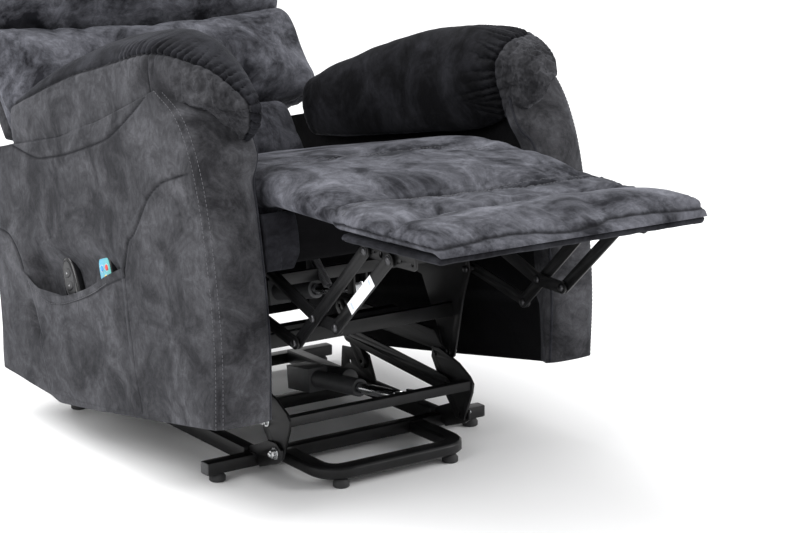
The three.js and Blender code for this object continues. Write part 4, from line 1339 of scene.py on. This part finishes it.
def build_controls():
    place = control_place("handset_body", 14)
    shell = [(0.3, -8.6), (0.78, -8.7), (0.88, -8.3), (0.965, -6.2), (1.0, -2.5), (1.0, 2.5),
             (0.96, 6.0), (0.86, 8.2), (0.6, 9.0), (0.2, 9.0)]
    points, faces = oval_mesh(shell, 27, 62, 2.25)
    add("handset_shell", place(points), faces, M["gloss"], "chair_frame",
        ["handset_body"])
    pad = [(0.2, -9.1), (0.9, -9.1), (0.97, -8.9), (1.0, -8.2), (1.0, -7.6)]
    points, faces = oval_mesh(pad, 19, 36, 2.1)
    add("handset_keypad", place(points + np.array([0, 0, 17])), faces, M["keypad"], "chair_frame")
    rim = [(math.cos(a) * 19.6, math.sin(a) * 36.8 + 17)
           for a in np.linspace(0, 2 * math.pi, 60)]
    points, faces = tube_mesh([(-8.9, y, z) for y, z in rim], 0.55, 8)
    add("handset_rim", place(points), faces, M["rivet"], "chair_frame")
    dome = [(0.2, -10.9), (0.7, -10.7), (0.92, -10.2), (1.0, -9.3), (1.0, -8.0)]
    for name, height, upward in (("up", 30, True), ("down", 6, False)):
        points, faces = oval_mesh(dome, 13.4, 8.6, 2.3)
        add(f"handset_{name}_key_cap", place(points + np.array([0, 0, height])), faces,
            M["keypad"], f"handset_{name}_key", [f"handset_{name}_button"])
        points, faces = arrow_mesh(-11.05, (0, height), 3.6, upward)
        add(f"handset_{name}_mark", place(points), faces, M["mark"], f"handset_{name}_key")

    place = control_place("remote_body", 8)
    shell = [(0.3, -8.6), (0.9, -8.6), (0.96, -8.1), (1.0, -6.8), (1.0, 6.0), (0.95, 8.4),
             (0.86, 9.0), (0.3, 9.0)]
    points, faces = oval_mesh(shell, 24, 71, 6.5)
    add("remote_shell", place(points), faces, M["gloss"], "chair_frame",
        ["remote_body"])
    film = [(0.3, -9.0), (0.98, -9.0), (1.0, -8.8), (1.0, -8.3)]
    points, faces = oval_mesh(film, 21.5, 67, 7)
    add("remote_face", place(points), faces, M["film"], "chair_frame")
    dome = [(0.2, -10.8), (0.75, -10.6), (0.95, -10.0), (1.0, -9.2), (1.0, -8.0)]
    for name, y, z in (("blue", 10, 50), ("red", -8, 50), ("yellow", 0, 32)):
        points, faces = oval_mesh(dome, 5.3, 5.3)
        key = mesh_object(f"remote_{name}_key_cap", place(points + np.array([0, y, z])), faces,
                          [M[name]])
        piece(key, f"remote_{name}_key", [f"remote_{name}_button"])
        turn = np.linspace(0, 2 * math.pi, 40)
        ring = [(-9.15, y + 6.3 * math.cos(a), z + 6.3 * math.sin(a)) for a in turn]
        points, faces = tube_mesh(ring, 0.35, 6)
        add(f"remote_{name}_ring", place(points), faces, M["label"], "chair_frame")


build_pocket(bpy.data.objects["arm_box_right"])
build_controls()


# ---------------------------------------------------------------- steelwork details
FLOOR = {  # pivots of the lift in the floor drawing, (y, z)
    "lift_lower": (-77, 57), "lift_upper": (-2, 155), "half": (-39.5, 106),
    "rear_lower": (247.5, 82), "rear_half": (285, 131), "rear_upper": (322.5, 180),
}
LEVEL = {  # pivots of the footrest and back in the level frame, (y, z)
    "drive_hinge": (-129, 382), "drive_long": (-283, 299), "drive_short": (-348, 286),
    "long_foot": (-227, 256), "board_long": (-454, 413), "board_short": (-519, 400),
    "stay_hinge": (-81, 313), "back_hinge": tuple(BACK_HINGE[1:]),
}


def hex_profile(points, radius, low, high, chamfer=0.8):
    turn = np.radians(np.arange(6) * 60 + points)
    rings = [[(r * math.cos(a), r * math.sin(a), h) for a in turn]
             for r, h in ((radius - chamfer, low), (radius, low + chamfer),
                          (radius, high - chamfer), (radius - chamfer, high))]
    rings = np.array(rings)
    faces = grid_faces(4, 6, wrap=True).tolist() + [list(range(6))[::-1], list(range(18, 24))]
    return rings.reshape(-1, 3), faces


def along_x(points, side):
    """Turns a shape built on +z so that it points out along the side's x."""
    p = np.asarray(points, float)
    return np.stack([side * p[..., 2], p[..., 0], p[..., 1]], -1)


def nut_parts(turn):
    """A hex nut on a washer with the end of its bolt standing through."""
    washer = lathe_mesh([(1, 0), (10.4, 0), (10.8, 0.3), (10.8, 1.5), (10.3, 1.9), (1, 1.9)], 40)
    nut = hex_profile(turn, 7.9, 1.9, 8.4)
    collar = lathe_mesh([(1, 8.3), (6.4, 8.3), (5.9, 9.8), (4.5, 10.2), (1, 10.2)], 36)
    thread = [(1.0, 10.0)]
    for i in range(6):
        thread += [(3.5, 10.0 + 0.55 * i), (4.0, 10.27 + 0.55 * i)]
    thread += [(3.2, 13.6), (0.8, 13.8)]
    return merged([washer, nut, collar, lathe_mesh(thread, 24)])


def rivet_parts(radius=8.0):
    """A domed shoulder rivet on a thin washer."""
    dome = [(1.0, 0), (radius, 0), (radius, 1.1), (0.82 * radius, 1.3), (0.8 * radius, 2.4),
            (0.66 * radius, 3.6), (0.35 * radius, 4.3), (0.08 * radius, 4.5)]
    return lathe_mesh(dome, 32)


def fastener(name, parts, x, y, z, side, body, material, level=True):
    points, faces = parts
    local = along_x(points, side) + np.array([side * x, y, z])
    obj = mesh_object(name, from_level(local) if level else from_floor(local), faces, [material])
    obj.data.polygons.foreach_set("use_smooth", np.ones(len(obj.data.polygons), bool))
    sharpen(obj, 35)
    return piece(obj, body)


def pin_parts(reach):
    """A plain pivot pin that fills the holes between two sheets."""
    return lathe_mesh([(0.4, 0), (3.7, 0), (3.7, reach), (0.4, reach)], 20)


def build_fasteners():
    for name, side in SIDES:
        y, z = FLOOR["lift_lower"]
        fastener(f"lift_nut_lower_{name}", nut_parts(12), 206.2, y, z, side, "base",
                 M["zinc"], False)
        y, z = FLOOR["half"]
        fastener(f"link_nut_middle_{name}", nut_parts(25), 200.2, y, z, side, "lift_links",
                 M["zinc"], False)
        y, z = FLOOR["lift_upper"]
        fastener(f"lift_nut_upper_{name}", nut_parts(5), 228.3, y, z, side, "carriage",
                 M["zinc"], False)
        for key, x, body in (("rear_lower", 206.2, "base"), ("rear_half", 200.2, "rear_links"),
                             ("rear_upper", 212.2, "carriage")):
            y, z = FLOOR[key]
            flat = lathe_mesh([(0.5, 0), (8.4, 0), (8.4, 0.3), (8.0, 0.5), (0.5, 0.6)], 32)
            fastener(f"{key}_rivet_{name}", rivet_parts(8.5) if key == "rear_upper" else flat,
                     x, y, z, side, body, M["rivet"], False)
        for key, x, inner, body in (
                ("drive_hinge", 234.2, 224, "chair_frame"),
                ("drive_long", 240.2, 230, "footrest_drive"),
                ("drive_short", 240.2, 230, "footrest_drive"),
                ("long_foot", 246.2, 236, "long_links"),
                ("board_long", 240.2, 230, "footrest_board"),
                ("board_short", 240.2, 230, "footrest_board"),
                ("stay_hinge", 246.2, 224, "chair_frame"),
                ("back_hinge", 234.2, 224, "chair_frame")):
            y, z = LEVEL[key]
            fastener(f"{key}_rivet_{name}", rivet_parts(), x, y, z, side, body, M["rivet"])
            low = inner - 0.3
            fastener(f"{key}_pin_{name}", pin_parts(x - low), low, y, z, side, body, M["rivet"])
            head = lathe_mesh([(0.5, 0), (6.6, 0), (6.2, 2.4), (4.4, 3.4), (0.5, 3.6)], 28)
            points, faces = head
            flipped = points * np.array([1, 1, -1])
            fastener(f"{key}_head_{name}", (flipped, faces), low, y, z, side, body, M["rivet"])


def build_spring():
    """An extension spring from the front rail down to the side plate."""
    start, end = np.array((-150.0, -150.0, 400.0)), np.array((-152.0, -207.0, 330.0))
    run = end - start
    length = np.linalg.norm(run)
    axis = run / length
    side = np.cross(axis, (0, 0, 1))
    side /= np.linalg.norm(side)
    third = np.cross(axis, side)
    turns, radius = 26, 7.0
    share = np.linspace(0, 1, turns * 16)
    body = start + run * (0.12 + 0.76 * share[:, None])
    angle = share * turns * 2 * math.pi
    coil = body + radius * (np.cos(angle)[:, None] * side + np.sin(angle)[:, None] * third)
    lead = [start, start + run * 0.06, start + run * 0.115 + radius * side]
    tail = [start + run * 0.885 + radius * side, start + run * 0.94, end]
    points, faces = tube_mesh(np.vstack([smooth_path(lead, 3)[:-1], coil,
                                         smooth_path(tail, 3)[1:]]), 1.15, 8)
    add("footrest_spring", from_level(points), faces, M["rivet"], "chair_frame")


BOX_FACES = [(0, 1, 2, 3), (7, 6, 5, 4), (0, 4, 5, 1), (1, 5, 6, 2), (2, 6, 7, 3), (3, 7, 4, 0)]


def flat_shape(name, outline, holes, thickness, bevel=0.5):
    """Points and faces of a thin sheet in (y, z) with round holes, centred on x = 0."""
    curve = bpy.data.curves.new(name, "CURVE")
    curve.dimensions = "2D"
    curve.fill_mode = "BOTH"
    curve.extrude = thickness / 2 - bevel
    curve.bevel_depth = bevel
    curve.bevel_resolution = 1
    rounds = [[(y + r * math.cos(a), z + r * math.sin(a))
               for a in np.linspace(0, 2 * math.pi, 24, endpoint=False)] for y, z, r in holes]
    for ring in [outline, *rounds]:
        spline = curve.splines.new("POLY")
        spline.points.add(len(ring) - 1)
        for point, (y, z) in zip(spline.points, ring):
            point.co = (y, z, 0, 1)
        spline.use_cyclic_u = True
    holder = bpy.data.objects.new(name, curve)
    mesh = bpy.data.meshes.new_from_object(holder)
    box = bmesh.new()
    box.from_mesh(mesh)
    bmesh.ops.remove_doubles(box, verts=box.verts, dist=1e-4)
    points = np.array([(v.co.z, v.co.x, v.co.y) for v in box.verts])
    faces = [[v.index for v in f.verts] for f in box.faces]
    box.free()
    bpy.data.objects.remove(holder)
    return points, faces


def board_line(y, lift):
    """A point lifted off the footrest board's slope through its rear pivot."""
    long_y, long_z = LEVEL["board_long"]
    return y, long_z + BOARD_SLOPE * (y - long_y) + lift


def build_brackets():
    """Perforated footrest brackets: the plate with its row of holes and a top flange."""
    for name, side in SIDES:
        low, high = level_box(f"footrest_bracket_{name}")
        middle = (low[0] + high[0]) / 2
        outline = [board_line(y, lift) for y, lift in (
            (-583, -7), (-581, -11), (-576, -14), (-520, -14), (-447, -8.5), (-442, -6),
            (-441, -2), (-441, 16), (-584, 16))]
        holes = [(*board_line(y, lift), r) for y, lift, r in (
            (-574, -5, 3.2), (-546, -3, 2.2), (-534, -7, 2.0), (-491, -1, 5.6), (-474, 1, 2.4))]
        points, faces = flat_shape("bracket", outline, holes, 3.8)
        plate = mesh_object(f"footrest_bracket_plate_{name}",
                            from_level(points + np.array([middle, 0, 0])), faces, [M["steel"]])
        sharpen(plate, 40)
        piece(plate, "footrest_board", [f"footrest_bracket_{name}"])
        corners = [board_line(-584, 16.2), board_line(-441, 16.2), board_line(-441, 14.2),
                   board_line(-584, 14.2)]
        x0, x1 = sorted((side * 231, side * 208))
        points = [(x, y, z) for x in (x0, x1) for y, z in corners]
        flange = mesh_object(f"footrest_bracket_flange_{name}", from_level(points),
                             BOX_FACES, [M["steel"]])
        flange.data.polygons.foreach_set("use_smooth", np.zeros(6, bool))
        soft = flange.modifiers.new("edges", "BEVEL")
        soft.width = 0.7 * MM
        soft.segments = 2
        piece(flange, "footrest_board")


def build_label():
    """A blank sticker on the right short link, with two plain bars."""
    a, b = np.array(LEVEL["drive_short"], float), np.array(LEVEL["board_short"], float)
    along = (b - a) / np.linalg.norm(b - a)
    across = np.array([-along[1], along[0]])
    x = -level_box("short_link_left")[1][0]
    for part, (low, high), (left, right), lift in (
            ("sticker", (58, 146), (-10.2, 10.2), 0.25), ("bar", (66, 71), (-6, 6), 0.4),
            ("bar_two", (134, 139), (-6, 2), 0.4)):
        ring = [a + along * s + across * t for s, t in (
            (low, left), (high, left), (high, right), (low, right))]
        points = [(x - lift, y, z) for y, z in ring] + [(x - 0.02, y, z) for y, z in ring]
        obj = mesh_object(f"short_link_{part}", from_level(points),
                          BOX_FACES, [M["label"] if part == "sticker" else M["label_bar"]])
        obj.data.polygons.foreach_set("use_smooth", np.zeros(6, bool))
        piece(obj, "short_links")


PLATE_FACE = 206  # outer face of the base plates


def build_base_details():
    """End caps in the cross tubes and weld beads along the plates."""
    for name, side in SIDES:
        for tube in ("base_front_tube", "base_rear_tube"):
            low, high = (np.array(c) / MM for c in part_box(tube))
            y, z = (low[1] + high[1]) / 2, (low[2] + high[2]) / 2
            cap = [(0.2, -2), (0.93, -2), (0.93, 0), (1.0, 0.2), (1.0, 1.8), (0.94, 2.6),
                   (0.2, 2.8)]
            points, faces = oval_mesh(cap, (high[1] - low[1]) / 2, (high[2] - low[2]) / 2, 12, 64)
            points = points * np.array([side, 1, 1]) + np.array([side * high[0], y, z])
            add(f"{tube}_cap_{name}", points * MM, faces, M["plastic"], "base")
        for node in ("base_pivot_plate", "base_rear_plate"):
            low, high = (np.array(c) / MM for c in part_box(f"{node}_{name}"))
            y0 = low[1] + 14 if node == "base_rear_plate" else high[1] - 22
            y1 = high[1] - 8
            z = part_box(f"base_side_rail_{name}")[1][2] / MM if node == "base_rear_plate" else \
                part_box("base_front_tube")[1][2] / MM
            ys = np.linspace(y0, y1, 30)
            bead = np.column_stack([np.full(30, side * (PLATE_FACE + 1.2)), ys,
                                    z + 0.6 + 0.3 * np.sin(ys * 2.1)])
            radii = 1.7 + 0.35 * np.sin(ys * 1.9)
            points, faces = tube_mesh(bead * MM, radii * MM, 8)
            add(f"{node}_weld_{name}", points, faces, M["steel"], "base")


build_fasteners()
build_spring()
build_brackets()
build_label()
build_base_details()


# ---------------------------------------------------------------- carried-over steelwork
def finish_cad_nodes():
    """Gives every CAD node that still shows its finish and softens its cut edges."""
    for node, obj in frame["nodes"].items():
        if obj.hide_render:
            continue
        material, slot, width = M["steel"], "black_powder_coat", 0.9
        if "foot_" in node and node.split("_")[0] in ("front", "loop", "rear"):
            material, slot = M["rubber"], "glide_rubber"
        elif node.endswith("_rod"):
            material, slot = M["rod"], "bright_rod"
        elif node.endswith("_housing"):
            material, slot, width = M["plastic"], "motor_plastic", 2.0
        obj.data.materials.clear()
        obj.data.materials.append(material)
        weld = obj.modifiers.new("weld", "WELD")
        weld.merge_threshold = 0.02 * MM
        soft = obj.modifiers.new("edges", "BEVEL")
        soft.width = width * MM
        soft.segments = 2
        soft.limit_method = "ANGLE"
        soft.angle_limit = math.radians(38)
        soft.use_clamp_overlap = True
        soft.harden_normals = False
        obj.data.polygons.foreach_set("use_smooth", np.ones(len(obj.data.polygons), bool))
        obj.modifiers.new("creases", "EDGE_SPLIT").split_angle = math.radians(50)


finish_cad_nodes()


# ---------------------------------------------------------------- stage
def build_stage():
    world = bpy.data.worlds.new("studio")
    bpy.context.scene.world = world
    world.use_nodes = True
    world.node_tree.nodes["Background"].inputs["Color"].default_value = (1, 1, 1, 1)
    world.node_tree.nodes["Background"].inputs["Strength"].default_value = 0.88
    bpy.context.scene.view_settings.view_transform = "Standard"

    material = new_material("floor", (0.96, 0.96, 0.965), 0.6)[0]
    size = 30.0
    corners = [(-size, -size, 0), (size, -size, 0), (size, size, 0), (-size, size, 0)]
    floor = mesh_object("studio_floor", corners, [(0, 1, 2, 3)], [material])

    sun = bpy.data.lights.new("window", "SUN")
    sun.energy = 2.3
    sun.angle = math.radians(50)
    left = bpy.data.lights.new("left_panel", "AREA")
    right = bpy.data.lights.new("right_panel", "AREA")
    for light, size, energy in ((left, 2.2, 52), (right, 1.2, 52)):
        light.shape = "DISK"
        light.size = size
        light.energy = energy
    for light, place in ((sun, (-1.0, 1.0, 2.6)), (left, (-2.8, -0.6, 2.2)),
                         (right, (2.7, -2.1, 1.7))):
        lamp = bpy.data.objects.new(light.name, light)
        bpy.context.scene.collection.objects.link(lamp)
        lamp.location = place
        aim = Vector((0, 0, 0)) if light is sun else Vector((0, 0, 0.55))
        lamp.rotation_euler = (aim - Vector(place)).to_track_quat("-Z", "Y").to_euler()


def build_camera():
    low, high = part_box("base_front_tube")
    camera = bpy.data.objects.new("camera", bpy.data.cameras.new("camera"))
    bpy.context.scene.collection.objects.link(camera)
    camera.location = (low + high) / 2 + Vector((-2.0435, -3.0572, 1.1935))
    camera.rotation_euler = (math.radians(76.66), 0, math.radians(-35.22))
    camera.data.sensor_width = 36
    camera.data.lens = 94.72
    camera.data.clip_end = 100
    bpy.context.scene.camera = camera


build_stage()
build_camera()
